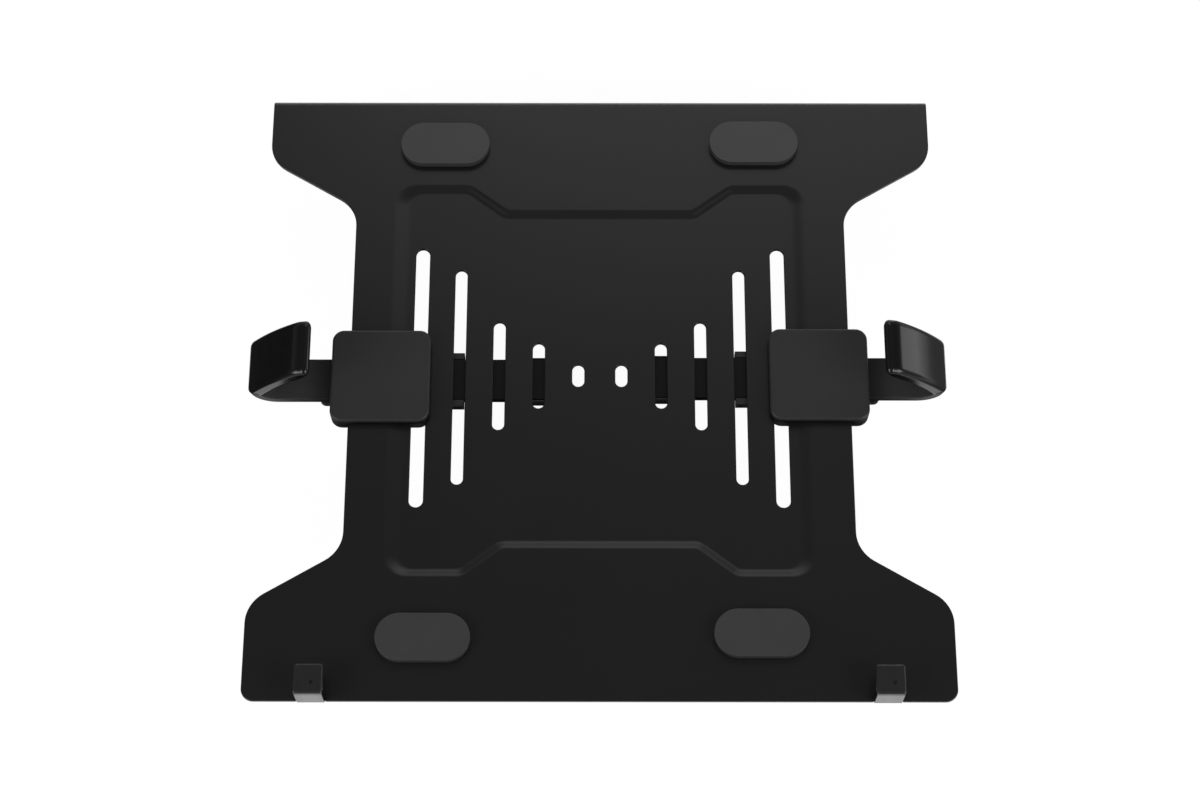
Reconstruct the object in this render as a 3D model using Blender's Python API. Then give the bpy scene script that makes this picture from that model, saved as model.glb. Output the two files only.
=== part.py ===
# Laptop tray with sliding side clamps, in separate pieces.
# Lengths are metres and angles degrees. +Z is up, the front edge with its hooks faces -Y,
# and the tray stands on the feet of its four standoffs at z = 0.

import math

import bmesh
import bpy
from mathutils import Matrix, Vector

# Clearance between pieces that touch or slide on each other
FIT_GAP = 0.0003

# Tray sheet
TRAY_WIDTH = 0.340
TRAY_DEPTH = 0.3221
SHEET = 0.0020
WAIST_WIDTH = 0.2492
BACK_WING_LENGTH = 0.0359
FRONT_WING_LENGTH = 0.0482
WING_ANGLE = 30.5
WING_FILLET = 0.0170
WAIST_FILLET = 0.0170
FRONT_CORNER = 0.0060
BEND_INSIDE = 0.0015
BACK_FLANGE_HEIGHT = 0.0110
FLANGE_CORNER = 0.0040

# Slots, in two mirrored rows about the centre of their pattern
PATTERN_SHIFT = 0.00615
FIRST_SLOT_X = 0.01075
SLOT_PITCH = 0.0198
SLOT_LENGTHS = (0.0118, 0.0350, 0.0580, 0.1155)
GUIDE_SLOT_LENGTH = 0.1392
SLOT_WIDTH = 0.0060
GUIDE_SLOT_WIDTH = 0.0070

# Pressed panel round the slots
RECESS_DEPTH = 0.0013
RECESS_SLOPE = 0.0015
RECESS_SIDE_MARGIN = 0.0131
RECESS_MIDDLE = 0.0890
RECESS_LOBE = 0.1033
RECESS_SLANT_START = 0.0480
RECESS_SLANT_END = 0.0670
RECESS_CORNER = 0.0090
RECESS_SLANT_FILLET = 0.0070

# Rubber pads on the tray
PAD_LENGTH = 0.0455
PAD_WIDTH = 0.0236
PAD_HEIGHT = 0.0037
PAD_EDGE = 0.0009
BACK_PAD_X = {"left": 0.0799, "right": 0.0793}
BACK_PAD_INSET = {"left": 0.0272, "right": 0.0262}
FRONT_PAD_X = {"left": 0.0844, "right": 0.0775}
FRONT_PAD_INSET = {"left": 0.0305, "right": 0.0328}

# Front hooks and their rubber caps
HOOK_INSET = 0.0333
HOOK_WIDTH = 0.0130
HOOK_STOCK = 0.0015
HOOK_BEND = 0.0010
HOOK_PROUD = 0.0003
HOOK_FOOT = 0.0140
HOOK_TONGUE_WIDTH = 0.0100
CAP_TOP = 0.0148
CAP_WIDTH = 0.0140
CAP_LENGTH = 0.0146
CAP_WALL = 0.0011
CAP_EDGE = 0.0006
DIMPLE_DIAMETER = 0.0016
DIMPLE_DEPTH = 0.0006
DIMPLE_INSET = 0.0056
DIMPLE_SHIFT = 0.0016

# Standoffs for the mounting plate of a monitor arm
VESA_PITCH = 0.100
STANDOFF_LENGTH = 0.0180
STANDOFF_FLATS = 0.0100
STANDOFF_CHAMFER = 0.0005
STANDOFF_THREAD = 0.0040
STANDOFF_THREAD_DEPTH = 0.0120

# Side clamps
CLAMP_SHIFT = {"left": -0.0021, "right": -0.0010}
CLAMP_WIDTH = 0.0488
CLAMP_OVERHANG = 0.0089
CLAMP_INNER_MARGIN = 0.00565
CLAMP_CORNER = 0.0058
COVER_HEIGHT = 0.0043
COVER_EDGE = 0.0012
BASE_THICKNESS = 0.0023
BASE_EDGE = 0.0007
CHANNEL_WALL = 0.0031
CHANNEL_FLOOR = 0.0016
CHANNEL_CORNER = 0.0010
CHANNEL_REACH = 0.0166

# Screws, seen from their heads
SCREW_DIAMETER = 0.0030
SCREW_HEAD = 0.0056
SCREW_HEAD_HEIGHT = 0.0020
SCREW_HEAD_EDGE = 0.0007
SCREW_BITE = 0.0056
SCREW_SPACE = 0.0015
DRIVE_LENGTH = 0.0032
DRIVE_WIDTH = 0.0008
DRIVE_DEPTH = 0.0010

# Sliding arms, each bent up into a claw at its outer end
ARM_SHIFT = {"left": 0.0023, "right": 0.0}
ARM_OFFSET = 0.0010
ARM_INNER_END = 0.0205
ARM_EXPOSED = 0.0370
BAR_WIDTH = 0.0216
BAR_THICKNESS = 0.0043
BAR_BEND = 0.0084
CLAW_LEAN = 37.0
CLAW_ARC_RADIUS = 0.1010
CLAW_ARC_ANGLE = 19.8
CLAW_TIP_MARGIN = 0.0080

# Plastic covers on the claws
CLAW_WIDTH = 0.0284
CLAW_WALL = 0.0014
CLAW_TIP_THICKNESS = 0.0054
COVER_LEAN = 26.0
CLAW_EDGE = 0.0010

# Stops under the inner ends of the arms
STOP_LENGTH = 0.0160
STOP_CHEEK = 0.0006
STOP_FLOOR = 0.0020
STOP_SCREW_BITE = 0.0024

# Lock levers under the clamps
LEVER_LENGTH = 0.0400
LEVER_THICKNESS = 0.0030
LEVER_CORNER = 0.0030
LEVER_PIN_INSET = 0.0335
HUB_RADIUS = 0.0035
CAM_OFFSET = 0.0003
PIN_DIAMETER = 0.0030
PIN_CHAMFER = 0.0003
EAR_RADIUS = 0.0045

# Places that follow from the sizes above, with heights from the top of the tray
PANEL_UNDER = -SHEET - RECESS_DEPTH
PLATE_TOP = STANDOFF_LENGTH + FIT_GAP - PANEL_UNDER
BACK_EDGE = TRAY_DEPTH / 2
FRONT_EDGE = -TRAY_DEPTH / 2
GUIDE_SLOT_X = FIRST_SLOT_X + SLOT_PITCH * len(SLOT_LENGTHS)
RECESS_SIDE = GUIDE_SLOT_X + RECESS_SIDE_MARGIN
CLAMP_OUTER = WAIST_WIDTH / 2 + CLAMP_OVERHANG
CLAMP_INNER = GUIDE_SLOT_X - CLAMP_INNER_MARGIN
SKIRT_INNER = WAIST_WIDTH / 2 + FIT_GAP
BASE_TOP = PANEL_UNDER - FIT_GAP
BASE_UNDER = BASE_TOP - BASE_THICKNESS
CHANNEL_HALF = BAR_WIDTH / 2 + FIT_GAP
CHANNEL_OUTER_HALF = CHANNEL_HALF + CHANNEL_WALL
CHANNEL_INNER = CLAMP_INNER - CHANNEL_REACH
BAR_TOP = BASE_TOP
BAR_UNDER = BAR_TOP - BAR_THICKNESS
FLOOR_TOP = BAR_UNDER - FIT_GAP
FLOOR_UNDER = FLOOR_TOP - CHANNEL_FLOOR
ARM_OUTER = CLAMP_OUTER + ARM_EXPOSED
SCREW_XS = {"inner": GUIDE_SLOT_X, "outer": (SKIRT_INNER + CLAMP_OUTER) / 2}
SCREW_Y = ARM_OFFSET + CHANNEL_OUTER_HALF + SCREW_HEAD / 2 + SCREW_SPACE
SCREW_BORE = SCREW_DIAMETER + 2 * FIT_GAP
PIN_X = CLAMP_OUTER - LEVER_PIN_INSET
PIN_Z = FLOOR_TOP - HUB_RADIUS - CAM_OFFSET
PIN_BORE = PIN_DIAMETER + 2 * FIT_GAP
LEVER_TOP = FLOOR_UNDER - FIT_GAP
HOOK_X = TRAY_WIDTH / 2 - HOOK_INSET
HOOK_FACE = FRONT_EDGE - HOOK_PROUD
HOOK_TOP = CAP_TOP - CAP_WALL - FIT_GAP

# How finely round shapes are divided, and how far a cutter runs past what it cuts
ARC_STEP = math.radians(15)
ARC_RUN = 0.0045
EDGE_STEPS = 3
ROUND_SIDES = 20
OVERRUN = 0.0010
SMALLEST_RADIUS = 0.0001


def clear_scene():
    for old in list(bpy.data.objects):
        bpy.data.objects.remove(old, do_unlink=True)


def make_material(name, colour, roughness, metallic=0.0):
    material = bpy.data.materials.new(name)
    material.use_nodes = True
    shader = material.node_tree.nodes["Principled BSDF"]
    shader.inputs["Base Color"].default_value = (*colour, 1.0)
    shader.inputs["Roughness"].default_value = roughness
    shader.inputs["Metallic"].default_value = metallic
    return material


# Outlines: lists of 2-D points that run anticlockwise

def arc(centre, radius, start, sweep, steps):
    angles = [start + sweep * index / steps for index in range(steps + 1)]
    return [(centre[0] + radius * math.cos(a), centre[1] + radius * math.sin(a)) for a in angles]


def rounded(corners):
    """Outline through corners (x, y, radius), each one rounded by its radius."""
    points = []
    for index, (x, y, radius) in enumerate(corners):
        here = Vector((x, y))
        before = Vector(corners[index - 1][:2]) - here
        after = Vector(corners[(index + 1) % len(corners)][:2]) - here
        turn = math.pi - before.angle(after)
        reach = min(radius * math.tan(turn / 2), 0.49 * before.length, 0.49 * after.length)
        radius = reach / math.tan(turn / 2)
        side = 1 if after.cross(before) > 0 else -1
        entry = here + before.normalized() * reach
        centre = entry + Vector((before.y, -before.x)).normalized() * radius * side
        start = math.atan2(entry.y - centre.y, entry.x - centre.x)
        points += arc(centre, radius, start, side * turn, max(2, round(turn / ARC_STEP)))
    return points


def grown(corners, distance):
    """Corners (x, y, radius) moved outwards by distance, or inwards if it is negative."""
    result = []
    for index, (x, y, radius) in enumerate(corners):
        here = Vector((x, y))
        entering = (here - Vector(corners[index - 1][:2])).normalized()
        leaving = (Vector(corners[(index + 1) % len(corners)][:2]) - here).normalized()
        middle = Vector((entering.y + leaving.y, -entering.x - leaving.x))
        moved = here + middle * (2 * distance / middle.length_squared)
        change = distance if entering.cross(leaving) > 0 else -distance
        result.append((moved.x, moved.y, max(radius + change, SMALLEST_RADIUS)))
    return result


def rectangle(low_x, high_x, low_y, high_y, radius):
    return [(low_x, low_y, radius), (high_x, low_y, radius), (high_x, high_y, radius), (low_x, high_y, radius)]


def stadium(centre, length, width, along_y=False):
    """A slot's outline: straight sides and half-round ends."""
    half = length / 2 - width / 2
    steps = round(math.pi / ARC_STEP)
    if along_y:
        lower, upper = (centre[0], centre[1] - half), (centre[0], centre[1] + half)
        return arc(lower, width / 2, math.pi, math.pi, steps) + arc(upper, width / 2, 0, math.pi, steps)
    left, right = (centre[0] - half, centre[1]), (centre[0] + half, centre[1])
    return arc(right, width / 2, -math.pi / 2, math.pi, steps) + arc(left, width / 2, math.pi / 2, math.pi, steps)


def circle(centre, radius, sides=ROUND_SIDES):
    return arc(centre, radius, 0, 2 * math.pi, sides)[:-1]


def trace(start, heading, moves):
    """Points and headings along a bent strip: moves are (length,) or (radius, turn in degrees)."""
    place = Vector(start)
    heading = math.radians(heading)
    stations = [(place.copy(), heading)]
    for move in moves:
        if len(move) == 1:
            place = place + Vector((math.cos(heading), math.sin(heading))) * move[0]
            stations.append((place.copy(), heading))
            continue
        radius, turn = move[0], math.radians(move[1])
        side = math.copysign(1, turn)
        centre = place + Vector((-math.sin(heading), math.cos(heading))) * radius * side
        spoke = place - centre
        steps = max(2, round(abs(turn) / ARC_STEP), round(abs(turn) * radius / ARC_RUN))
        for step in range(1, steps + 1):
            part = turn * step / steps
            turned = centre + Matrix.Rotation(part, 2) @ spoke
            stations.append((turned, heading + part))
        place = turned
        heading += turn
    return stations


def thickened(stations, halves):
    """Outline of a strip with its own half thickness at each station."""
    near, far = [], []
    for (place, heading), half in zip(stations, halves):
        across = Vector((-math.sin(heading), math.cos(heading))) * half
        near.append(tuple(place - across))
        far.append(tuple(place + across))
    return near + far[::-1]


# Solids

def loft(name, loops):
    """A closed solid through loops of equal length, with a flat cap at each end."""
    shape = bmesh.new()
    rings = [[shape.verts.new(point) for point in loop] for loop in loops]
    for low, high in zip(rings, rings[1:]):
        for index in range(len(low)):
            after = (index + 1) % len(low)
            shape.faces.new((low[index], low[after], high[after], high[index]))
    shape.faces.new(rings[0][::-1])
    shape.faces.new(rings[-1])
    bmesh.ops.recalc_face_normals(shape, faces=shape.faces)
    mesh = bpy.data.meshes.new(name)
    shape.to_mesh(mesh)
    shape.free()
    solid = bpy.data.objects.new(name, mesh)
    bpy.context.scene.collection.objects.link(solid)
    return solid


def upright(name, outline, low, high):
    """Outline (x, y) raised from low to high."""
    return loft(name, [[(x, y, z) for x, y in outline] for z in (low, high)])


def sideways(name, outline, low, high):
    """Outline (x, z) drawn along Y from low to high."""
    return loft(name, [[(x, y, z) for x, z in outline] for y in (low, high)])


def lengthways(name, outline, low, high):
    """Outline (y, z) drawn along X from low to high."""
    return loft(name, [[(x, y, z) for y, z in outline] for x in (low, high)])


def block(name, low, high):
    corners = [(low[0], low[1]), (high[0], low[1]), (high[0], high[1]), (low[0], high[1])]
    return upright(name, corners, low[2], high[2])


def rim(height, edge, up):
    """Heights and insets of a rounded rim, from the side of a plate to its face."""
    if not edge:
        return [(height, 0.0)]
    angles = [math.pi / 2 * step / EDGE_STEPS for step in range(EDGE_STEPS + 1)]
    return [(height - up * edge * (1 - math.sin(a)), edge * (1 - math.cos(a))) for a in angles]


def soft_slab(name, outline, low, high, low_edge, high_edge):
    """A plate with rounded rims; outline(inset) gives its outline, drawn in by inset."""
    levels = rim(low, low_edge, -1)[::-1] + rim(high, high_edge, 1)
    return loft(name, [[(x, y, z) for x, y in outline(inset)] for z, inset in levels])


def combine(target, tool, operation):
    modifier = target.modifiers.new("combine", "BOOLEAN")
    modifier.operation = operation
    modifier.solver = "EXACT"
    modifier.object = tool
    graph = bpy.context.evaluated_depsgraph_get()
    result = bpy.data.meshes.new_from_object(target.evaluated_get(graph))
    target.modifiers.remove(modifier)
    target.data = result
    bpy.data.objects.remove(tool, do_unlink=True)


def cut(target, *tools):
    for tool in tools:
        combine(target, tool, "DIFFERENCE")


def join(target, *tools):
    for tool in tools:
        combine(target, tool, "UNION")


def finish(solid, material, reference, carrier=None, side="right"):
    """Give a solid its finish and its place: reference is its origin, from the tray's top centre.

    Side pieces are drawn for the right-hand side, and mirrored for the left.
    """
    reference = Vector(reference)
    mesh = solid.data
    mesh.transform(Matrix.Translation(-reference))
    if side == "left":
        mesh.transform(Matrix.Scale(-1, 4, (1, 0, 0)))
        mesh.flip_normals()
        reference.x = -reference.x
    mesh.materials.clear()
    mesh.materials.append(material)
    mesh.shade_smooth()
    mesh.set_sharp_from_angle(angle=math.radians(35))
    solid.location = reference + Vector((0, 0, PLATE_TOP))
    if carrier:
        solid.parent = carrier
        solid.location -= carrier.location
    return solid


def make_carrier(name, place):
    """An empty that stands where a moving group is carried."""
    carrier = bpy.data.objects.new(name, None)
    carrier.empty_display_size = 0.02
    carrier.location = Vector(place) + Vector((0, 0, PLATE_TOP))
    bpy.context.scene.collection.objects.link(carrier)
    return carrier


# Tray

def tray_corners():
    """Flat blank of the sheet, before its back edge is bent down."""
    half, waist = TRAY_WIDTH / 2, WAIST_WIDTH / 2
    drop = (half - waist) * math.tan(math.radians(WING_ANGLE))
    front_wing = FRONT_EDGE + FRONT_WING_LENGTH
    back_wing = BACK_EDGE - BACK_WING_LENGTH
    bend_length = (BEND_INSIDE + SHEET / 2) * math.pi / 2
    blank_back = BACK_EDGE - BEND_INSIDE - SHEET + bend_length + BACK_FLANGE_HEIGHT - BEND_INSIDE - SHEET
    right = [
        (half, FRONT_EDGE, FRONT_CORNER),
        (half, front_wing, WING_FILLET),
        (waist, front_wing + drop, WAIST_FILLET),
        (waist, back_wing - drop, WAIST_FILLET),
        (half, back_wing, WING_FILLET),
        (half, blank_back, FLANGE_CORNER),
    ]
    return right + [(-x, y, radius) for x, y, radius in right[::-1]]


def bend_back_edge(tray):
    """Fold the blank down over a round bend at its back edge."""
    bend_start = BACK_EDGE - BEND_INSIDE - SHEET
    neutral = BEND_INSIDE + SHEET / 2
    steps = round(math.pi / 2 / ARC_STEP)
    shape = bmesh.new()
    shape.from_mesh(tray.data)
    for step in range(steps + 1):
        line = bend_start + neutral * math.pi / 2 * step / steps
        everything = shape.verts[:] + shape.edges[:] + shape.faces[:]
        bmesh.ops.bisect_plane(shape, geom=everything, plane_co=(0, line, 0), plane_no=(0, 1, 0), dist=1e-7)
    hinge_z = -SHEET - BEND_INSIDE
    for vert in shape.verts:
        run = vert.co.y - bend_start
        if run <= 1e-7:
            continue
        radius = vert.co.z - hinge_z
        angle = min(run / neutral, math.pi / 2)
        straight = max(run - neutral * math.pi / 2, 0)
        vert.co.y = bend_start + radius * math.sin(angle)
        vert.co.z = hinge_z + radius * math.cos(angle) - straight
    shape.to_mesh(tray.data)
    shape.free()


def recess_corners():
    """Dog-bone outline of the pressed panel, at its floor."""
    right = [
        (RECESS_SLANT_START, -RECESS_MIDDLE, RECESS_SLANT_FILLET),
        (RECESS_SLANT_END, -RECESS_LOBE, RECESS_SLANT_FILLET),
        (RECESS_SIDE, -RECESS_LOBE, RECESS_CORNER),
        (RECESS_SIDE, RECESS_LOBE, RECESS_CORNER),
        (RECESS_SLANT_END, RECESS_LOBE, RECESS_SLANT_FILLET),
        (RECESS_SLANT_START, RECESS_MIDDLE, RECESS_SLANT_FILLET),
    ]
    corners = right + [(-x, y, radius) for x, y, radius in right[::-1]]
    return [(x, y + PATTERN_SHIFT, radius) for x, y, radius in corners]


def pressing(name, floor, rise):
    """Solid under a surface that slopes up and out from the panel's floor."""
    loops = []
    for height in (0.0, rise):
        outline = rounded(grown(recess_corners(), RECESS_SLOPE * height / RECESS_DEPTH))
        loops.append([(x, y, floor + height) for x, y in outline])
    return loft(name, loops)


def make_tray(material):
    tray = upright("tray_plate", rounded(tray_corners()), -SHEET, 0)
    bend_back_edge(tray)
    join(tray, pressing("boss", PANEL_UNDER, 1.4 * RECESS_DEPTH))
    cut(tray, pressing("recess", -RECESS_DEPTH, 2 * RECESS_DEPTH))
    low, high = PANEL_UNDER - OVERRUN, OVERRUN
    for index, length in enumerate(SLOT_LENGTHS + (GUIDE_SLOT_LENGTH,)):
        width = GUIDE_SLOT_WIDTH if length == GUIDE_SLOT_LENGTH else SLOT_WIDTH
        for sign in (-1, 1):
            centre = (sign * (FIRST_SLOT_X + SLOT_PITCH * index), PATTERN_SHIFT)
            cut(tray, upright("slot", stadium(centre, length, width, along_y=True), low, high))
    for sign in (-1, 1):
        middle, half = sign * HOOK_X, HOOK_WIDTH / 2 + FIT_GAP
        notch_back = HOOK_FACE + HOOK_STOCK + FIT_GAP
        notch = block("notch", (middle - half, FRONT_EDGE - OVERRUN, low), (middle + half, notch_back, high))
        cut(tray, notch)
    finish(tray, material, (0, 0, 0))


def make_pads(material):
    for side, sign in (("left", -1), ("right", 1)):
        places = {
            "back": (sign * BACK_PAD_X[side], BACK_EDGE - BACK_PAD_INSET[side]),
            "front": (sign * FRONT_PAD_X[side], FRONT_EDGE + FRONT_PAD_INSET[side]),
        }
        for end, centre in places.items():
            outline = lambda inset: stadium(centre, PAD_LENGTH - 2 * inset, PAD_WIDTH - 2 * inset)
            top = FIT_GAP + PAD_HEIGHT
            pad = soft_slab(f"pad_{end}_{side}", outline, FIT_GAP, top, 0, PAD_EDGE)
            finish(pad, material, (*centre, 0))


def make_hook(side, sign, steel, rubber):
    """A bent steel strip welded under the sheet, with a rubber cap pushed on its tongue."""
    middle = sign * HOOK_X
    half_stock = HOOK_STOCK / 2
    bend = HOOK_BEND + half_stock
    foot_z = -SHEET - FIT_GAP - half_stock
    foot_run = HOOK_FOOT - half_stock - bend
    leg_run = HOOK_TOP - half_stock - foot_z - 2 * bend
    tongue_end = HOOK_FACE + CAP_LENGTH - CAP_WALL - FIT_GAP
    tongue_run = tongue_end - (HOOK_FACE + half_stock + bend)
    moves = [(foot_run,), (bend, -90), (leg_run,), (bend, -90), (tongue_run,)]
    stations = trace((HOOK_FACE + HOOK_FOOT, foot_z), 180, moves)
    outline = thickened(stations, [half_stock] * len(stations))
    hook = lengthways(f"front_hook_{side}", outline, middle - HOOK_WIDTH / 2, middle + HOOK_WIDTH / 2)
    shoulder = HOOK_FACE + HOOK_STOCK + HOOK_BEND
    neck, full = HOOK_TONGUE_WIDTH / 2, HOOK_WIDTH / 2 + OVERRUN
    for low, high in ((-full, -neck), (neck, full)):
        low_corner = (middle + low, shoulder, HOOK_TOP - HOOK_STOCK - OVERRUN)
        cut(hook, block("shoulder", low_corner, (middle + high, tongue_end + OVERRUN, CAP_TOP)))
    finish(hook, steel, (middle, HOOK_FACE, 0))

    pocket_low = HOOK_TOP - HOOK_STOCK - FIT_GAP
    cap_back = HOOK_FACE + CAP_LENGTH
    corners = rectangle(middle - CAP_WIDTH / 2, middle + CAP_WIDTH / 2, HOOK_FACE, cap_back, CAP_EDGE)
    outline = lambda inset: rounded(grown(corners, -inset))
    cap = soft_slab(f"hook_cap_{side}", outline, pocket_low - CAP_WALL, CAP_TOP, CAP_EDGE, CAP_EDGE)
    wide = CAP_WIDTH / 2 + OVERRUN
    pocket_high = HOOK_TOP + FIT_GAP
    low_corner = (middle - wide, HOOK_FACE - OVERRUN, pocket_low - CAP_WALL - OVERRUN)
    cut(cap, block("leg room", low_corner, (middle + wide, shoulder + FIT_GAP, pocket_high)))
    low_corner = (middle - neck - FIT_GAP, HOOK_FACE - OVERRUN, pocket_low)
    cut(cap, block("pocket", low_corner, (middle + neck + FIT_GAP, tongue_end + FIT_GAP, pocket_high)))
    dimple = circle((middle + DIMPLE_SHIFT, HOOK_FACE + DIMPLE_INSET), DIMPLE_DIAMETER / 2)
    cut(cap, upright("dimple", dimple, CAP_TOP - DIMPLE_DEPTH, CAP_TOP + OVERRUN))
    finish(cap, rubber, (middle, HOOK_FACE, HOOK_TOP))


def make_standoffs(material):
    top = PANEL_UNDER - FIT_GAP
    foot = top - STANDOFF_LENGTH
    across = STANDOFF_FLATS / 2 / math.cos(math.pi / 6)
    for side, sign in (("left", -1), ("right", 1)):
        for end, toward in (("front", -1), ("back", 1)):
            x = sign * VESA_PITCH / 2
            y = PATTERN_SHIFT + toward * VESA_PITCH / 2
            outline = lambda inset: circle((x, y), across - inset, 6)
            levels = [(foot, STANDOFF_CHAMFER), (foot + STANDOFF_CHAMFER, 0), (top, 0)]
            loops = [[(px, py, z) for px, py in outline(inset)] for z, inset in levels]
            standoff = loft(f"standoff_{end}_{side}", loops)
            bore = circle((x, y), STANDOFF_THREAD / 2)
            cut(standoff, upright("bore", bore, foot - OVERRUN, foot + STANDOFF_THREAD_DEPTH))
            finish(standoff, material, (x, y, foot))


# Clamps, drawn for the right-hand side with y from the middle of the clamp

def clamp_outline(inset):
    corners = rectangle(CLAMP_INNER, CLAMP_OUTER, -CLAMP_WIDTH / 2, CLAMP_WIDTH / 2, CLAMP_CORNER)
    return rounded(grown(corners, -inset))


def screw_places():
    return {
        f"{column}_{end}": (x, toward * SCREW_Y)
        for column, x in SCREW_XS.items()
        for end, toward in (("front", -1), ("back", 1))
    }


def make_clamp_cover(name):
    cover = soft_slab(name, clamp_outline, PANEL_UNDER, COVER_HEIGHT, 0, COVER_EDGE)
    wide = CLAMP_WIDTH / 2 + OVERRUN
    low_corner = (CLAMP_INNER - OVERRUN, -wide, PANEL_UNDER - OVERRUN)
    cut(cover, block("tray room", low_corner, (SKIRT_INNER, wide, FIT_GAP)))
    for toward in (-1, 1):
        boss = circle((GUIDE_SLOT_X, toward * SCREW_Y), GUIDE_SLOT_WIDTH / 2 - FIT_GAP)
        join(cover, upright("boss", boss, PANEL_UNDER, COVER_HEIGHT / 2))
    bore_top = BASE_TOP + SCREW_BITE + FIT_GAP
    for place in screw_places().values():
        cut(cover, upright("bore", circle(place, SCREW_BORE / 2), PANEL_UNDER - OVERRUN, bore_top))
    return cover


def make_clamp_base(name):
    """Lower half of a clamp: a flat flange with the arm's channel sunk in it, and the lever's ears."""
    base = soft_slab(name, clamp_outline, BASE_UNDER, BASE_TOP, BASE_EDGE, 0)
    left, right = ARM_OFFSET - CHANNEL_OUTER_HALF, ARM_OFFSET + CHANNEL_OUTER_HALF
    corners = [
        (left, FLOOR_UNDER, CHANNEL_CORNER),
        (right, FLOOR_UNDER, CHANNEL_CORNER),
        (right, BASE_TOP, SMALLEST_RADIUS),
        (left, BASE_TOP, SMALLEST_RADIUS),
    ]
    join(base, lengthways("channel", rounded(corners), CHANNEL_INNER, CLAMP_OUTER))
    ear_outline = arc((PIN_X, PIN_Z), EAR_RADIUS, math.pi, math.pi, round(math.pi / ARC_STEP))
    ear_top = FLOOR_TOP
    ear_outline += [(PIN_X + EAR_RADIUS, ear_top), (PIN_X - EAR_RADIUS, ear_top)]
    for low, high in ((left, left + CHANNEL_WALL), (right - CHANNEL_WALL, right)):
        join(base, sideways("ear", ear_outline, low, high))
    inner_low, inner_high = left + CHANNEL_WALL, right - CHANNEL_WALL
    low_corner = (CHANNEL_INNER - OVERRUN, inner_low, FLOOR_TOP)
    cut(base, block("arm room", low_corner, (CLAMP_OUTER + OVERRUN, inner_high, BASE_TOP + OVERRUN)))
    window = HUB_RADIUS + CAM_OFFSET + FIT_GAP
    low_corner = (PIN_X - window, inner_low, FLOOR_UNDER - OVERRUN)
    cut(base, block("window", low_corner, (PIN_X + window, inner_high, FLOOR_TOP + OVERRUN)))
    cut(base, sideways("pin bore", circle((PIN_X, PIN_Z), PIN_BORE / 2), left - OVERRUN, right + OVERRUN))
    for place in screw_places().values():
        bore = circle(place, SCREW_BORE / 2)
        cut(base, upright("bore", bore, BASE_UNDER - OVERRUN, BASE_TOP + OVERRUN))
    return base


def make_screw(name, place, seat, tip):
    """Pan-head screw that points up: its head lies under seat and its tip reaches tip."""
    under = seat - FIT_GAP
    levels = [(z, SCREW_HEAD / 2 - inset) for z, inset in rim(under - SCREW_HEAD_HEIGHT, SCREW_HEAD_EDGE, -1)[::-1]]
    levels += [(under, SCREW_HEAD / 2), (under, SCREW_DIAMETER / 2), (tip, SCREW_DIAMETER / 2)]
    screw = loft(name, [[(x, y, z) for x, y in circle(place, radius)] for z, radius in levels])
    head_low = under - SCREW_HEAD_HEIGHT
    for size in ((DRIVE_LENGTH / 2, DRIVE_WIDTH / 2), (DRIVE_WIDTH / 2, DRIVE_LENGTH / 2)):
        low_corner = (place[0] - size[0], place[1] - size[1], head_low - OVERRUN)
        cut(screw, block("drive", low_corner, (place[0] + size[0], place[1] + size[1], head_low + DRIVE_DEPTH)))
    return screw


def make_lock_lever(name):
    """Flat lever whose round hub stands off its pin's centre, so that turning it frees the arm."""
    half = BAR_WIDTH / 2
    tip = PIN_X + LEVER_LENGTH
    corners = [
        (PIN_X, ARM_OFFSET - half, SMALLEST_RADIUS),
        (tip, ARM_OFFSET - half, LEVER_CORNER),
        (tip, ARM_OFFSET + half, LEVER_CORNER),
        (PIN_X, ARM_OFFSET + half, SMALLEST_RADIUS),
    ]
    lever = upright(name, rounded(corners), LEVER_TOP - LEVER_THICKNESS, LEVER_TOP)
    hub = circle((PIN_X, PIN_Z + CAM_OFFSET), HUB_RADIUS)
    join(lever, sideways("hub", hub, ARM_OFFSET - half, ARM_OFFSET + half))
    bore = circle((PIN_X, PIN_Z), PIN_BORE / 2)
    cut(lever, sideways("bore", bore, ARM_OFFSET - half - OVERRUN, ARM_OFFSET + half + OVERRUN))
    return lever


def make_lever_pin(name):
    low, high = ARM_OFFSET - CHANNEL_OUTER_HALF, ARM_OFFSET + CHANNEL_OUTER_HALF
    radius = PIN_DIAMETER / 2
    levels = [(low, radius - PIN_CHAMFER), (low + PIN_CHAMFER, radius), (high - PIN_CHAMFER, radius), (high, radius - PIN_CHAMFER)]
    return loft(name, [[(x, y, z) for x, z in circle((PIN_X, PIN_Z), size)] for y, size in levels])


# Arms: the flat run points outwards, then one wide bend turns up until the bar leans in over the tray

def claw_bar_angle():
    """How far the steel follows the claw's arc, which runs on past it to the tip."""
    return CLAW_ARC_ANGLE - math.degrees(CLAW_TIP_MARGIN / CLAW_ARC_RADIUS)


def make_arm_bar(name):
    half = BAR_THICKNESS / 2
    bend = BAR_BEND + half
    flat_run = ARM_OUTER - half - bend - ARM_INNER_END
    moves = [(flat_run,), (bend, 90 + CLAW_LEAN), (CLAW_ARC_RADIUS, claw_bar_angle())]
    stations = trace((ARM_INNER_END, BAR_TOP - half), 0, moves)
    outline = thickened(stations, [half] * len(stations))
    bar = sideways(name, outline, ARM_OFFSET - BAR_WIDTH / 2, ARM_OFFSET + BAR_WIDTH / 2)
    place = (ARM_INNER_END + STOP_LENGTH / 2, ARM_OFFSET)
    bore = circle(place, SCREW_BORE / 2)
    cut(bar, upright("bore", bore, BAR_UNDER - OVERRUN, BAR_UNDER + STOP_SCREW_BITE + FIT_GAP))
    return bar


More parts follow.
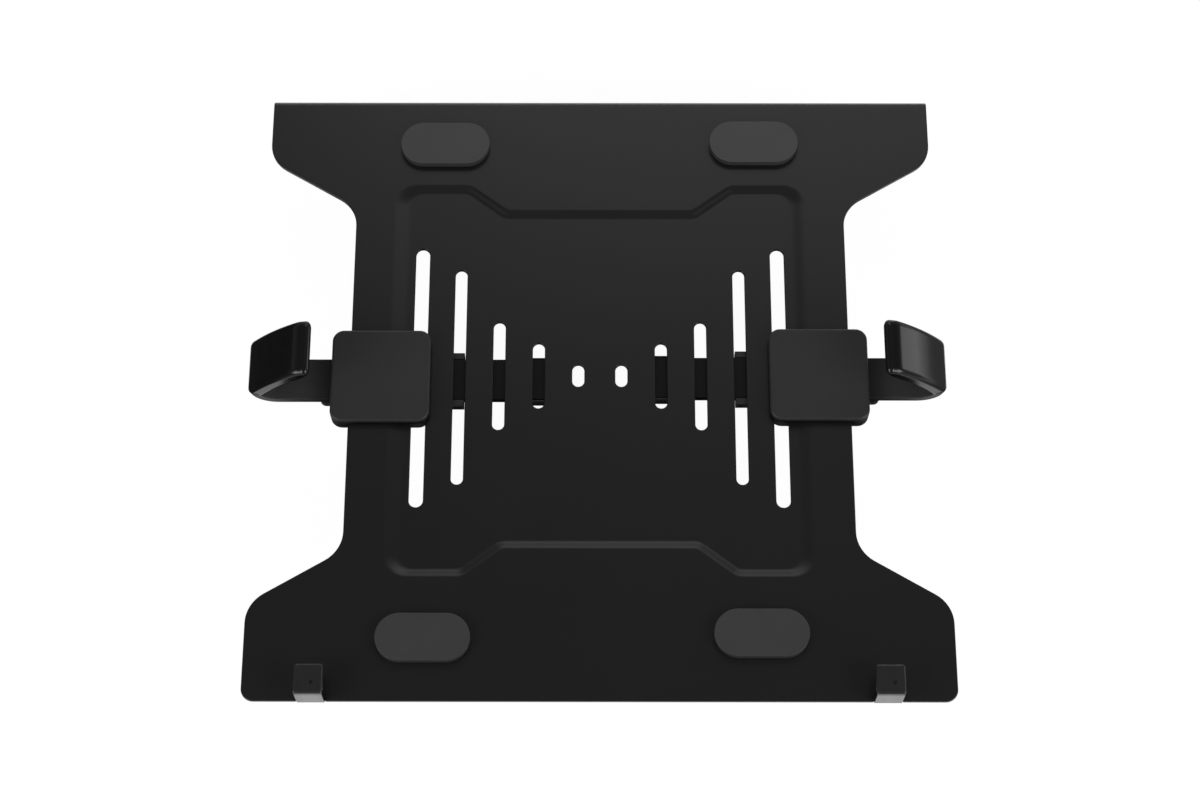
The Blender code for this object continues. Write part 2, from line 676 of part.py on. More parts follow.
def claw_stations(arc_angle):
    """The claw's middle line, from where its cover starts near the end of the bend."""
    half = BAR_THICKNESS / 2
    bend = BAR_BEND + half
    lean = math.radians(COVER_LEAN)
    start = (ARM_OUTER - half - bend + bend * math.cos(lean), BAR_TOP - half + bend + bend * math.sin(lean))
    return trace(start, 90 + COVER_LEAN, [(bend, CLAW_LEAN - COVER_LEAN), (CLAW_ARC_RADIUS, arc_angle)])


def claw_outline(inset):
    """Side view of the cover: even walls round the steel, then a taper to a round tip."""
    stations = claw_stations(CLAW_ARC_ANGLE)
    full = BAR_THICKNESS / 2 + FIT_GAP + CLAW_WALL
    tip = CLAW_TIP_THICKNESS / 2
    run = [0.0]
    for (place, _), (after, _) in zip(stations, stations[1:]):
        run.append(run[-1] + (after - place).length)
    taper_start = run[-1] - CLAW_TIP_MARGIN
    halves = []
    for travelled in run:
        share = max(0.0, (travelled - taper_start) / CLAW_TIP_MARGIN)
        halves.append(full + (tip - full) * share - inset)
    outline = thickened(stations, halves)
    first, heading = stations[0]
    along = Vector((math.cos(heading), math.sin(heading))) * inset
    outline[0] = tuple(Vector(outline[0]) + along)
    outline[-1] = tuple(Vector(outline[-1]) + along)
    end, heading = stations[-1]
    steps = round(math.pi / ARC_STEP)
    nose = arc(end, tip - inset, heading - math.pi / 2, math.pi, steps)[1:-1]
    return outline[:len(stations)] + nose + outline[len(stations):]


def make_claw_cover(name):
    low, high = ARM_OFFSET - CLAW_WIDTH / 2, ARM_OFFSET + CLAW_WIDTH / 2
    levels = rim(low, CLAW_EDGE, -1)[::-1] + rim(high, CLAW_EDGE, 1)
    cover = loft(name, [[(x, y, z) for x, z in claw_outline(inset)] for y, inset in levels])
    stations = claw_stations(claw_bar_angle())
    first, heading = stations[0]
    stations.insert(0, (first - Vector((math.cos(heading), math.sin(heading))) * OVERRUN, heading))
    last, heading = stations[-1]
    stations.append((last + Vector((math.cos(heading), math.sin(heading))) * FIT_GAP, heading))
    pocket = thickened(stations, [BAR_THICKNESS / 2 + FIT_GAP] * len(stations))
    half = BAR_WIDTH / 2 + FIT_GAP
    cut(cover, sideways("pocket", pocket, ARM_OFFSET - half, ARM_OFFSET + half))
    return cover


def make_arm_stop(name):
    """A saddle under the bar's inner end, wider than the channel that the bar runs in."""
    inner, outer = ARM_INNER_END, ARM_INNER_END + STOP_LENGTH
    room = BAR_WIDTH / 2 + FIT_GAP
    half = room + STOP_CHEEK
    under = FLOOR_TOP - STOP_FLOOR
    stop = block(name, (inner, ARM_OFFSET - half, under), (outer, ARM_OFFSET + half, BAR_TOP))
    low_corner = (inner - OVERRUN, ARM_OFFSET - room, FLOOR_TOP)
    cut(stop, block("bar room", low_corner, (outer + OVERRUN, ARM_OFFSET + room, BAR_TOP + OVERRUN)))
    bore = circle(((inner + outer) / 2, ARM_OFFSET), SCREW_BORE / 2)
    cut(stop, upright("bore", bore, under - OVERRUN, FLOOR_TOP + OVERRUN))
    return stop


def make_side(side, finishes):
    """All that one clamp carries: the clamp slides along the tray, the arm slides through it."""
    sign = -1 if side == "left" else 1
    clamp_y = PATTERN_SHIFT + CLAMP_SHIFT[side]
    arm_shift = ARM_SHIFT[side]
    clamp_at = Vector((GUIDE_SLOT_X, 0, 0))
    arm_at = Vector((ARM_INNER_END, ARM_OFFSET, BAR_TOP))
    pin_at = Vector((PIN_X, ARM_OFFSET, PIN_Z))
    world = lambda place, shift=0.0: (sign * (place.x + shift), place.y + clamp_y, place.z)
    clamp = make_carrier(f"clamp_{side}_slide", world(clamp_at))
    arm = make_carrier(f"arm_{side}_slide", world(arm_at, arm_shift))
    lever = make_carrier(f"lever_{side}_hinge", world(pin_at))

    def put(solid, finish_name, carrier, shift=0.0):
        solid.data.transform(Matrix.Translation((shift, clamp_y, 0)))
        place = carrier.location - Vector((0, 0, PLATE_TOP))
        finish(solid, finishes[finish_name], (abs(place.x), place.y, place.z), carrier, side)

    put(make_clamp_cover(f"clamp_cover_{side}"), "moulding", clamp)
    put(make_clamp_base(f"clamp_base_{side}"), "moulding", clamp)
    for place_name, place in screw_places().items():
        screw = make_screw(f"clamp_screw_{place_name}_{side}", place, BASE_UNDER, BASE_TOP + SCREW_BITE)
        put(screw, "fastener", clamp)
    put(make_lever_pin(f"lever_pin_{side}"), "fastener", clamp)
    put(make_lock_lever(f"lock_lever_{side}"), "moulding", lever)
    put(make_arm_bar(f"arm_bar_{side}"), "coated", arm, arm_shift)
    put(make_claw_cover(f"claw_cover_{side}"), "gloss", arm, arm_shift)
    put(make_arm_stop(f"arm_stop_{side}"), "moulding", arm, arm_shift)
    stop_place = (ARM_INNER_END + STOP_LENGTH / 2, ARM_OFFSET)
    stop_seat = FLOOR_TOP - STOP_FLOOR
    screw = make_screw(f"arm_stop_screw_{side}", stop_place, stop_seat, BAR_UNDER + STOP_SCREW_BITE)
    put(screw, "fastener", arm, arm_shift)


def main():
    clear_scene()
    finishes = {
        "coated": make_material("black_powder_coat", (0.016, 0.016, 0.017), 0.55),
        "moulding": make_material("black_moulding", (0.022, 0.022, 0.023), 0.5),
        "gloss": make_material("gloss_black_moulding", (0.012, 0.012, 0.013), 0.2),
        "rubber": make_material("grey_rubber", (0.045, 0.045, 0.046), 0.85),
        "cap_rubber": make_material("black_rubber", (0.02, 0.02, 0.02), 0.7),
        "plated": make_material("plated_steel", (0.5, 0.5, 0.5), 0.35, 1.0),
        "fastener": make_material("black_zinc", (0.05, 0.05, 0.052), 0.4, 1.0),
    }
    make_tray(finishes["coated"])
    make_pads(finishes["rubber"])
    for side, sign in (("left", -1), ("right", 1)):
        make_hook(side, sign, finishes["plated"], finishes["cap_rubber"])
    make_standoffs(finishes["plated"])
    for side in ("left", "right"):
        make_side(side, finishes)


main()
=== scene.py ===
import math

import bmesh
import bpy
from mathutils import Matrix, Vector
from mathutils.geometry import delaunay_2d_cdt


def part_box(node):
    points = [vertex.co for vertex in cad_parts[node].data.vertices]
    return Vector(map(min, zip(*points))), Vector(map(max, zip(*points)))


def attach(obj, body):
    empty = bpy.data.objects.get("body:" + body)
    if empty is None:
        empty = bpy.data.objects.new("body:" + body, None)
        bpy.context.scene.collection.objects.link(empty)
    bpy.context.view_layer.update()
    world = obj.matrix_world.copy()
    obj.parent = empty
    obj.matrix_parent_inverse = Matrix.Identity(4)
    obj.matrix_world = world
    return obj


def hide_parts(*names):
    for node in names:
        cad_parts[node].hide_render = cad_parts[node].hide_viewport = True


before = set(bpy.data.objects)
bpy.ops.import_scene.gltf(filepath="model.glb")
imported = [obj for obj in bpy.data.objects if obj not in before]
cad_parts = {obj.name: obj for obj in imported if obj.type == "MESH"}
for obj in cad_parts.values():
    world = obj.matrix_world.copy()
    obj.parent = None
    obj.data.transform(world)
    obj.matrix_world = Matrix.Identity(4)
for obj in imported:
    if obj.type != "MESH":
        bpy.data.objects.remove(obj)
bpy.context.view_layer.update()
plateTop = 0.0216   # height of the tray's upper face
fitGap = 0.0003     # between pieces that touch
overrun = 0.001     # how far a cutter stands out of what it cuts
nearly = 1e-6       # shorter lengths than this count as nothing
leastRadius = 0.00005   # of a corner, once its outline is drawn in
cornerShare = 0.49  # of a straight side, the most that the rounding of one corner takes
leastSteps = 3      # in a bend or a rounded corner
print("frame loaded:", len(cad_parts), "nodes")


def arc(centre, radius, start, sweep, steps):
    angles = [start + sweep * index / steps for index in range(steps + 1)]
    return [(centre[0] + radius * math.cos(a), centre[1] + radius * math.sin(a)) for a in angles]


def circle(centre, radius, steps):
    return arc(centre, radius, 0, 2 * math.pi, steps)[:-1]


# outline through corners (x, y, radius), anticlockwise
def rounded(corners, stepAngle=7.5):
    points = []
    for index, (x, y, radius) in enumerate(corners):
        here = Vector((x, y))
        before = Vector(corners[index - 1][:2]) - here
        after = Vector(corners[(index + 1) % len(corners)][:2]) - here
        turn = math.pi - before.angle(after)
        reach = min(radius * math.tan(turn / 2), cornerShare * before.length, cornerShare * after.length)
        radius = reach / math.tan(turn / 2)
        side = 1 if after.cross(before) > 0 else -1
        entry = here + before.normalized() * reach
        centre = entry + Vector((before.y, -before.x)).normalized() * radius * side
        start = math.atan2(entry.y - centre.y, entry.x - centre.x)
        steps = max(leastSteps, round(math.degrees(turn) / stepAngle))
        points += arc(centre, radius, start, side * turn, steps)
    return points


# corners of an outline that lies further out by distance
def grown(corners, distance):
    result = []
    for index, (x, y, radius) in enumerate(corners):
        here = Vector((x, y))
        entering = (here - Vector(corners[index - 1][:2])).normalized()
        leaving = (Vector(corners[(index + 1) % len(corners)][:2]) - here).normalized()
        middle = Vector((entering.y + leaving.y, -entering.x - leaving.x))
        moved = here + middle * (2 * distance / middle.length_squared)
        change = distance if entering.cross(leaving) > 0 else -distance
        result.append((moved.x, moved.y, max(radius + change, leastRadius)))
    return result


# a fine outline drawn in by distance, point by point
def inset(loop, distance):
    result = []
    for index, point in enumerate(loop):
        here = Vector(point)
        entering = here - Vector(loop[index - 1])
        leaving = Vector(loop[(index + 1) % len(loop)]) - here
        a = Vector((entering.y, -entering.x)).normalized()
        b = Vector((leaving.y, -leaving.x)).normalized()
        middle = a + b
        result.append(tuple(here - middle * (2 * distance / middle.length_squared)))
    return result


# a slot along Y with round ends
def stadium(centre, length, width, steps):
    half = length / 2 - width / 2
    low, high = (centre[0], centre[1] - half), (centre[0], centre[1] + half)
    return arc(low, width / 2, math.pi, math.pi, steps) + arc(high, width / 2, 0, math.pi, steps)


# corners of the right half, and then the same on the left
def bothHalves(right):
    return right + [(-x, y, radius) for x, y, radius in right[::-1]]


# heights and insets of a rounded rim, from a plate's side to its face
def rim(height, edge, up, steps=5):
    angles = [math.pi / 2 * step / steps for step in range(steps + 1)]
    return [(height - up * edge * (1 - math.sin(a)), edge * (1 - math.cos(a))) for a in angles]


# a plan in the tray's plane, at a height over its upper face
def level(plan, z):
    return [(x, y, z + plateTop) for x, y in plan]


def addPiece(name, shape):
    bmesh.ops.recalc_face_normals(shape, faces=shape.faces)
    mesh = bpy.data.meshes.new(name)
    shape.to_mesh(mesh)
    shape.free()
    mesh.shade_smooth()
    piece = bpy.data.objects.new(name, mesh)
    bpy.context.scene.collection.objects.link(piece)
    return piece


# walls from each loop of points to the next
def addBand(shape, loops):
    rings = [[shape.verts.new(point) for point in loop] for loop in loops]
    for low, high in zip(rings, rings[1:]):
        for index in range(len(low)):
            after = (index + 1) % len(low)
            shape.faces.new((low[index], low[after], high[after], high[index]))
    return rings


def loft(name, loops):
    shape = bmesh.new()
    rings = addBand(shape, loops)
    shape.faces.new(rings[0][::-1])
    shape.faces.new(rings[-1])
    return addPiece(name, shape)


def box(name, low, high):
    corners = [(low[0], low[1]), (high[0], low[1]), (high[0], high[1]), (low[0], high[1])]
    return loft(name, [[(x, y, z) for x, y in corners] for z in (low[2], high[2])])


# turns a piece and its modifiers into a plain mesh
def applied(piece):
    graph = bpy.context.evaluated_depsgraph_get()
    mesh = bpy.data.meshes.new_from_object(piece.evaluated_get(graph))
    piece.modifiers.clear()
    piece.data = mesh
    return piece


def boolean(piece, tool, operation="DIFFERENCE"):
    modifier = piece.modifiers.new("boolean", "BOOLEAN")
    modifier.operation = operation
    modifier.solver = "EXACT"
    modifier.object = tool
    applied(piece)
    bpy.data.objects.remove(tool, do_unlink=True)


def cutBox(piece, low, high):
    boolean(piece, box("cutter", low, high))


def cutHole(piece, plan, low, high):
    boolean(piece, loft("cutter", [level(plan, z) for z in (low, high)]))


# keeps a smooth-shaded piece's flats flat
def evened(piece):
    piece.data.shade_smooth()
    weighted = piece.modifiers.new("weighted", "WEIGHTED_NORMAL")
    weighted.mode = "FACE_AREA"
    weighted.weight = 100
    return applied(piece)


# rounds the edges at which a piece's faces turn by more than an angle in degrees
def softened(piece, width, segments, angle):
    bevel = piece.modifiers.new("bevel", "BEVEL")
    bevel.width = width
    bevel.segments = segments
    bevel.limit_method = "ANGLE"
    bevel.angle_limit = math.radians(angle)
    bevel.use_clamp_overlap = True
    return evened(piece)


def dress(piece, finish, body, slot, *nodes):
    piece.data.materials.clear()
    piece.data.materials.append(finishes[finish])
    for polygon in piece.data.polygons:
        polygon.material_index = 0
    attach(piece, body)
    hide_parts(*nodes)


copies = {      # CAD nodes kept as they are, but for softer edges: "bevel" is width, segments and angle
    "mergeWithin": 1e-6, "flatWithin": 0.5,
    "clamp_base": {
        "piece": "clampBase", "bevel": (0.0003, 2, 40), "finish": "moulding", "slot": "black_moulding",
    },
    "lock_lever": {
        "piece": "lockLever", "bevel": (0.0004, 3, 40), "finish": "moulding", "slot": "black_moulding",
    },
    "lever_pin": {
        "piece": "leverPin", "bevel": (0.0001, 2, 40), "finish": "blackZinc", "slot": "black_fastener",
    },
    "arm_stop": {
        "piece": "armStop", "bevel": (0.0003, 2, 40), "finish": "moulding", "slot": "black_moulding",
    },
}


def makeCopy(kind, side, body):
    values, nodeName = copies[kind], f"{kind}_{side}"
    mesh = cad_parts[nodeName].data.copy()
    shape = bmesh.new()
    shape.from_mesh(mesh)
    bmesh.ops.remove_doubles(shape, verts=shape.verts, dist=copies["mergeWithin"])
    flat = math.radians(copies["flatWithin"])
    bmesh.ops.dissolve_limit(shape, angle_limit=flat, verts=shape.verts, edges=shape.edges)
    bpy.data.meshes.remove(mesh)
    piece = softened(addPiece(f"{values['piece']}_{side}", shape), *values["bevel"])
    dress(piece, values["finish"], body, values["slot"], nodeName)


grain = {   # shared by all finishes
    "driftDetail": 3, "driftRange": (0.3, 0.7), "detail": 2, "roughness": 0.6, "bumpDistance": 0.0001,
}


def addNoise(nodes, links, place, scale, detail):
    noise = nodes.new("ShaderNodeTexNoise")
    noise.inputs["Scale"].default_value = scale
    noise.inputs["Detail"].default_value = detail
    links.new(place, noise.inputs["Vector"])
    return noise


# painted shade: a piece is darker where it lies under the tray and the clamp, with a painted contact shadow
# just beside the clamp block
def paintedShade(nodes, links, place, values, color):
    parts = nodes.new("ShaderNodeSeparateXYZ")
    links.new(place, parts.inputs[0])
    away = nodes.new("ShaderNodeMath")
    away.operation = "ABSOLUTE"
    links.new(parts.outputs["X"], away.inputs[0])
    reach = nodes.new("ShaderNodeMapRange")
    reach.interpolation_type = "SMOOTHSTEP"
    reach.inputs["From Min"].default_value, reach.inputs["From Max"].default_value = values["paintedShadeReach"]
    links.new(away.outputs[0], reach.inputs["Value"])
    blend = nodes.new("ShaderNodeMix")
    blend.data_type = "RGBA"
    links.new(reach.outputs["Result"], blend.inputs["Factor"])
    blend.inputs["A"].default_value = (*values["paintedShadeColor"], 1)
    links.new(color, blend.inputs["B"])
    return blend.outputs["Result"]


# a finish on object coordinates: fine grain as bump and gloss, a slow drift in tone, and painted shade for
# finishes that have it
def makeFinish(name, values):
    material = bpy.data.materials.new(name)
    material.use_nodes = True
    nodes, links = material.node_tree.nodes, material.node_tree.links
    shader = nodes["Principled BSDF"]
    shader.inputs["Metallic"].default_value = values.get("metallic", 0.0)
    shader.inputs["Specular IOR Level"].default_value = values.get("specular", 0.5)
    place = nodes.new("ShaderNodeTexCoord").outputs["Object"]
    mapping = nodes.new("ShaderNodeMapping")
    mapping.inputs["Scale"].default_value = values.get("stretch", (1, 1, 1))
    links.new(place, mapping.inputs["Vector"])

    drift = addNoise(nodes, links, mapping.outputs["Vector"], values["driftScale"], grain["driftDetail"])
    tone = nodes.new("ShaderNodeValToRGB")
    for element, position, color in zip(tone.color_ramp.elements, grain["driftRange"], values["colors"]):
        element.position = position
        element.color = (*color, 1)
    links.new(drift.outputs["Fac"], tone.inputs["Fac"])
    color = tone.outputs["Color"]
    # painted shade under the tray and clamp, and a painted contact shadow beside the clamp block
    if "paintedShadeColor" in values:
        color = paintedShade(nodes, links, place, values, color)
    links.new(color, shader.inputs["Base Color"])

    fine = addNoise(nodes, links, mapping.outputs["Vector"], values["grainScale"], grain["detail"])
    fine.inputs["Roughness"].default_value = grain["roughness"]
    gloss = nodes.new("ShaderNodeMapRange")
    gloss.inputs["To Min"].default_value, gloss.inputs["To Max"].default_value = values["roughness"]
    links.new(fine.outputs["Fac"], gloss.inputs["Value"])
    links.new(gloss.outputs["Result"], shader.inputs["Roughness"])
    bump = nodes.new("ShaderNodeBump")
    bump.inputs["Strength"].default_value = values["bump"]
    bump.inputs["Distance"].default_value = grain["bumpDistance"]
    links.new(fine.outputs["Fac"], bump.inputs["Height"])
    links.new(bump.outputs["Normal"], shader.inputs["Normal"])
    return material


finishValues = {
    "powderCoat": {
        "colors": ((0.0054, 0.0054, 0.0057), (0.0066, 0.0066, 0.0069)),
        "driftScale": 14, "grainScale": 1300, "roughness": (0.29, 0.37), "bump": 0.12,
    },
    "armCoatPaintedLightShade": {
        # painted light: this coat is lighter than the tray's coat of the same sheet, making up for the shade
        # that the claw and clamp block cast on the bar
        "colors": ((0.0310, 0.0310, 0.0315), (0.0350, 0.0350, 0.0355)), "specular": 0.25,
        # painted shade: dark under the tray and clamp, fading out just past the clamp block as a painted
        # contact shadow
        "paintedShadeColor": (0.0012, 0.0012, 0.0013), "paintedShadeReach": (0.128, 0.150),
        "driftScale": 30, "grainScale": 1300, "roughness": (0.40, 0.50), "bump": 0.12,
    },
    "moulding": {
        "colors": ((0.0245, 0.0245, 0.0250), (0.0275, 0.0275, 0.0280)), "specular": 0.35,
        "driftScale": 30, "grainScale": 1900, "roughness": (0.42, 0.52), "bump": 0.15,
    },
    "glossMoulding": {
        "colors": ((0.0050, 0.0050, 0.0054), (0.0060, 0.0060, 0.0064)), "specular": 0.4,
        "driftScale": 60, "grainScale": 500, "roughness": (0.15, 0.22), "bump": 0.03,
    },
    "padRubber": {
        "colors": ((0.0420, 0.0420, 0.0425), (0.0460, 0.0460, 0.0465)),
        "driftScale": 60, "grainScale": 2600, "roughness": (0.33, 0.41), "bump": 0.20,
    },
    "capRubber": {
        "colors": ((0.0130, 0.0130, 0.0134), (0.0154, 0.0154, 0.0158)),
        "driftScale": 120, "grainScale": 2600, "roughness": (0.28, 0.40), "bump": 0.15,
    },
    "platedSteel": {
        "colors": ((0.175, 0.175, 0.18), (0.22, 0.22, 0.22)), "metallic": 1.0, "stretch": (1, 1, 0.15),
        "driftScale": 160, "grainScale": 900, "roughness": (0.30, 0.42), "bump": 0.1,
    },
    "blackZinc": {
        "colors": ((0.045, 0.045, 0.047), (0.07, 0.07, 0.072)), "metallic": 1.0,
        "driftScale": 400, "grainScale": 2400, "roughness": (0.30, 0.45), "bump": 0.1,
    },
}
finishes = {name: makeFinish(name, values) for name, values in finishValues.items()}
print("finishes made:", len(finishes))


tray = {
    "width": 0.340, "depth": 0.3221, "sheet": 0.0020, "edgeRound": 0.00045,
    "waist": 0.2492, "backWing": 0.0359, "frontWing": 0.0482, "wingAngle": 30.5, "wingFillet": 0.0170,
    "frontCorner": 0.0060, "flange": 0.0110, "flangeCorner": 0.0040, "bendInside": 0.0015, "bendSteps": 8,
    "patternY": 0.00615, "firstSlotX": 0.01075, "slotPitch": 0.0198, "slotSteps": 16,
    "slotLengths": (0.0118, 0.0350, 0.0580, 0.1155, 0.1392),
    "slotWidths": (0.006, 0.006, 0.006, 0.006, 0.007),
    "pressDepth": 0.0013, "pressBand": 0.0050, "pressSideEase": 0.0040, "pressSteps": 12,
    "pressSide": 0.10305, "pressMiddle": 0.0890, "pressLobe": 0.1033, "pressCorner": 0.0090,
    "slantStart": 0.0480, "slantEnd": 0.0670, "slantFillet": 0.0070,
    "hookX": 0.1367, "notchWidth": 0.0136, "notchBack": -0.15955, "notchFillet": 0.0006,
    "seamWithin": 2e-6, "fillWithin": 1e-8, "foldFrom": 1e-7,
}


def trayOutline():
    t = tray
    half, waist = t["width"] / 2, t["waist"] / 2
    front, back = -t["depth"] / 2, t["depth"] / 2
    drop = (half - waist) * math.tan(math.radians(t["wingAngle"]))
    neutral = t["bendInside"] + t["sheet"] / 2
    bendStart = back - t["bendInside"] - t["sheet"]
    blankBack = bendStart + neutral * math.pi / 2 + t["flange"] - t["bendInside"] - t["sheet"]
    notch, fillet = t["notchWidth"] / 2, t["notchFillet"]
    loop = rounded(bothHalves([
        (t["hookX"] - notch, front, fillet),
        (t["hookX"] - notch, t["notchBack"], fillet),
        (t["hookX"] + notch, t["notchBack"], fillet),
        (t["hookX"] + notch, front, fillet),
        (half, front, t["frontCorner"]),
        (half, front + t["frontWing"], t["wingFillet"]),
        (waist, front + t["frontWing"] + drop, t["wingFillet"]),
        (waist, back - t["backWing"] - drop, t["wingFillet"]),
        (half, back - t["backWing"], t["wingFillet"]),
        (half, blankBack, t["flangeCorner"]),
    ]))
    folds = [bendStart + neutral * math.pi / 2 * step / t["bendSteps"] for step in range(t["bendSteps"] + 1)]
    result = []     # the folds need points of their own on both straight sides
    for index, point in enumerate(loop):
        result.append(point)
        after = loop[(index + 1) % len(loop)]
        if abs(abs(point[0]) - half) < nearly and abs(after[0] - point[0]) < nearly:
            low, high = sorted((point[1], after[1]))
            crossed = [fold for fold in folds if low + nearly < fold < high - nearly]
            crossed.sort(reverse=after[1] < point[1])
            result += [(point[0], fold) for fold in crossed]
    return result, folds, bendStart, neutral


# the pressed panel's outline, grown by offset, with its two sides drawn in by ease as well
def pressOutline(offset, ease=0.0):
    t = tray
    corners = bothHalves([
        (t["slantStart"], -t["pressMiddle"], t["slantFillet"]),
        (t["slantEnd"], -t["pressLobe"], t["slantFillet"]),
        (t["pressSide"], -t["pressLobe"], t["pressCorner"]),
        (t["pressSide"], t["pressLobe"], t["pressCorner"]),
        (t["slantEnd"], t["pressLobe"], t["slantFillet"]),
        (t["slantStart"], t["pressMiddle"], t["slantFillet"]),
    ])
    corners = grown([(x, y + t["patternY"], radius) for x, y, radius in corners], offset)
    sideFrom = (t["slantEnd"] + t["pressSide"]) / 2
    return rounded([
        (x - math.copysign(ease if abs(x) > sideFrom else 0.0, x), y, radius) for x, y, radius in corners
    ])


def inside(point, loop):
    x, y = point
    found = False
    for index, (ax, ay) in enumerate(loop):
        bx, by = loop[index - 1]
        if (ay > y) != (by > y) and x < (bx - ax) * (y - ay) / (by - ay) + ax:
            found = not found
    return found


# triangles between an outline and its holes, which keep to any extra lines
def fillFlat(outer, holes, lines):
    points, edges = [], []
    for loop in [outer] + holes:
        start = len(points)
        points += [Vector(point) for point in loop]
        edges += [(start + index, start + (index + 1) % len(loop)) for index in range(len(loop))]
    for a, b in lines:
        edges.append((len(points), len(points) + 1))
        points += [Vector(a), Vector(b)]
    verts, _, faces, *_ = delaunay_2d_cdt(points, edges, [], 0, tray["fillWithin"])
    kept = []
    for face in faces:
        middle = sum((verts[index] for index in face), Vector((0, 0))) / len(face)
        if inside(middle, outer) and not any(inside(middle, hole) for hole in holes):
            kept.append(face)
    return verts, kept


# the sheet's upper and lower faces
def addFlat(shape, outer, holes, height, lines=()):
    verts, faces = fillFlat(outer, holes, lines)
    for z in (height, height - tray["sheet"]):
        made = [shape.verts.new((v.x, v.y, z)) for v in verts]
        for face in faces:
            shape.faces.new([made[index] for index in face])


# the sheet's rounded edge along an outline (sign 1) or a slot (sign -1)
def addEdge(shape, loop, height, sign):
    edge = tray["edgeRound"]
    levels = [(height + z, drawn) for z, drawn in rim(0, edge, 1)[::-1]]
    levels += [(height - tray["sheet"] + z, drawn) for z, drawn in rim(0, edge, -1)]
    addBand(shape, [[(x, y, z) for x, y in inset(loop, sign * drawn)] for z, drawn in levels])


# the slope of the pressed panel, which runs down in an S
def addSlope(shape):
    t = tray
    loops = []
    for step in range(t["pressSteps"] + 1):
        share = step / t["pressSteps"]
        z = -t["pressDepth"] * (1 - math.cos(math.pi * share)) / 2
        drawn = pressOutline(t["pressBand"] / 2 - t["pressBand"] * share, t["pressSideEase"] * share)
        loops.append([(x, y, z) for x, y in drawn])
    addBand(shape, loops)
    addBand(shape, [[(x, y, z - t["sheet"]) for x, y, z in loop] for loop in loops])


# folds the back edge down over a round bend, and lifts the sheet to its height
def foldBack(shape, bendStart, neutral):
    hingeZ = -tray["sheet"] - tray["bendInside"]
    for vert in shape.verts:
        run = vert.co.y - bendStart
        if run > tray["foldFrom"]:
            radius = vert.co.z - hingeZ
            angle = min(run / neutral, math.pi / 2)
            vert.co.y = bendStart + radius * math.sin(angle)
            vert.co.z = hingeZ + radius * math.cos(angle) - max(run - neutral * math.pi / 2, 0)
        vert.co.z += plateTop


def makeTray():
    t = tray
    edge, halfBand = t["edgeRound"], t["pressBand"] / 2
    outline, folds, bendStart, neutral = trayOutline()
    slots = []
    for index, (length, width) in enumerate(zip(t["slotLengths"], t["slotWidths"])):
        for sign in (-1, 1):
            centre = (sign * (t["firstSlotX"] + t["slotPitch"] * index), t["patternY"])
            slots.append(stadium(centre, length, width, t["slotSteps"]))
    lines = [((-t["width"] / 2 + edge, fold), (t["width"] / 2 - edge, fold)) for fold in folds]
    shape = bmesh.new()
    addFlat(shape, inset(outline, edge), [pressOutline(halfBand)], 0, lines)
    addEdge(shape, outline, 0, 1)
    panel = pressOutline(-halfBand, t["pressSideEase"])
    addFlat(shape, panel, [inset(slot, -edge) for slot in slots], -t["pressDepth"])
    for slot in slots:
        addEdge(shape, slot, -t["pressDepth"], -1)
    addSlope(shape)
    bmesh.ops.remove_doubles(shape, verts=shape.verts, dist=t["seamWithin"])
    foldBack(shape, bendStart, neutral)
    print("tray open edges:", sum(not seam.is_manifold for seam in shape.edges))
    dress(evened(addPiece("trayPlate", shape)), "powderCoat", "tray", "powder_coated_sheet", "tray_plate")


makeTray()
print("tray made")


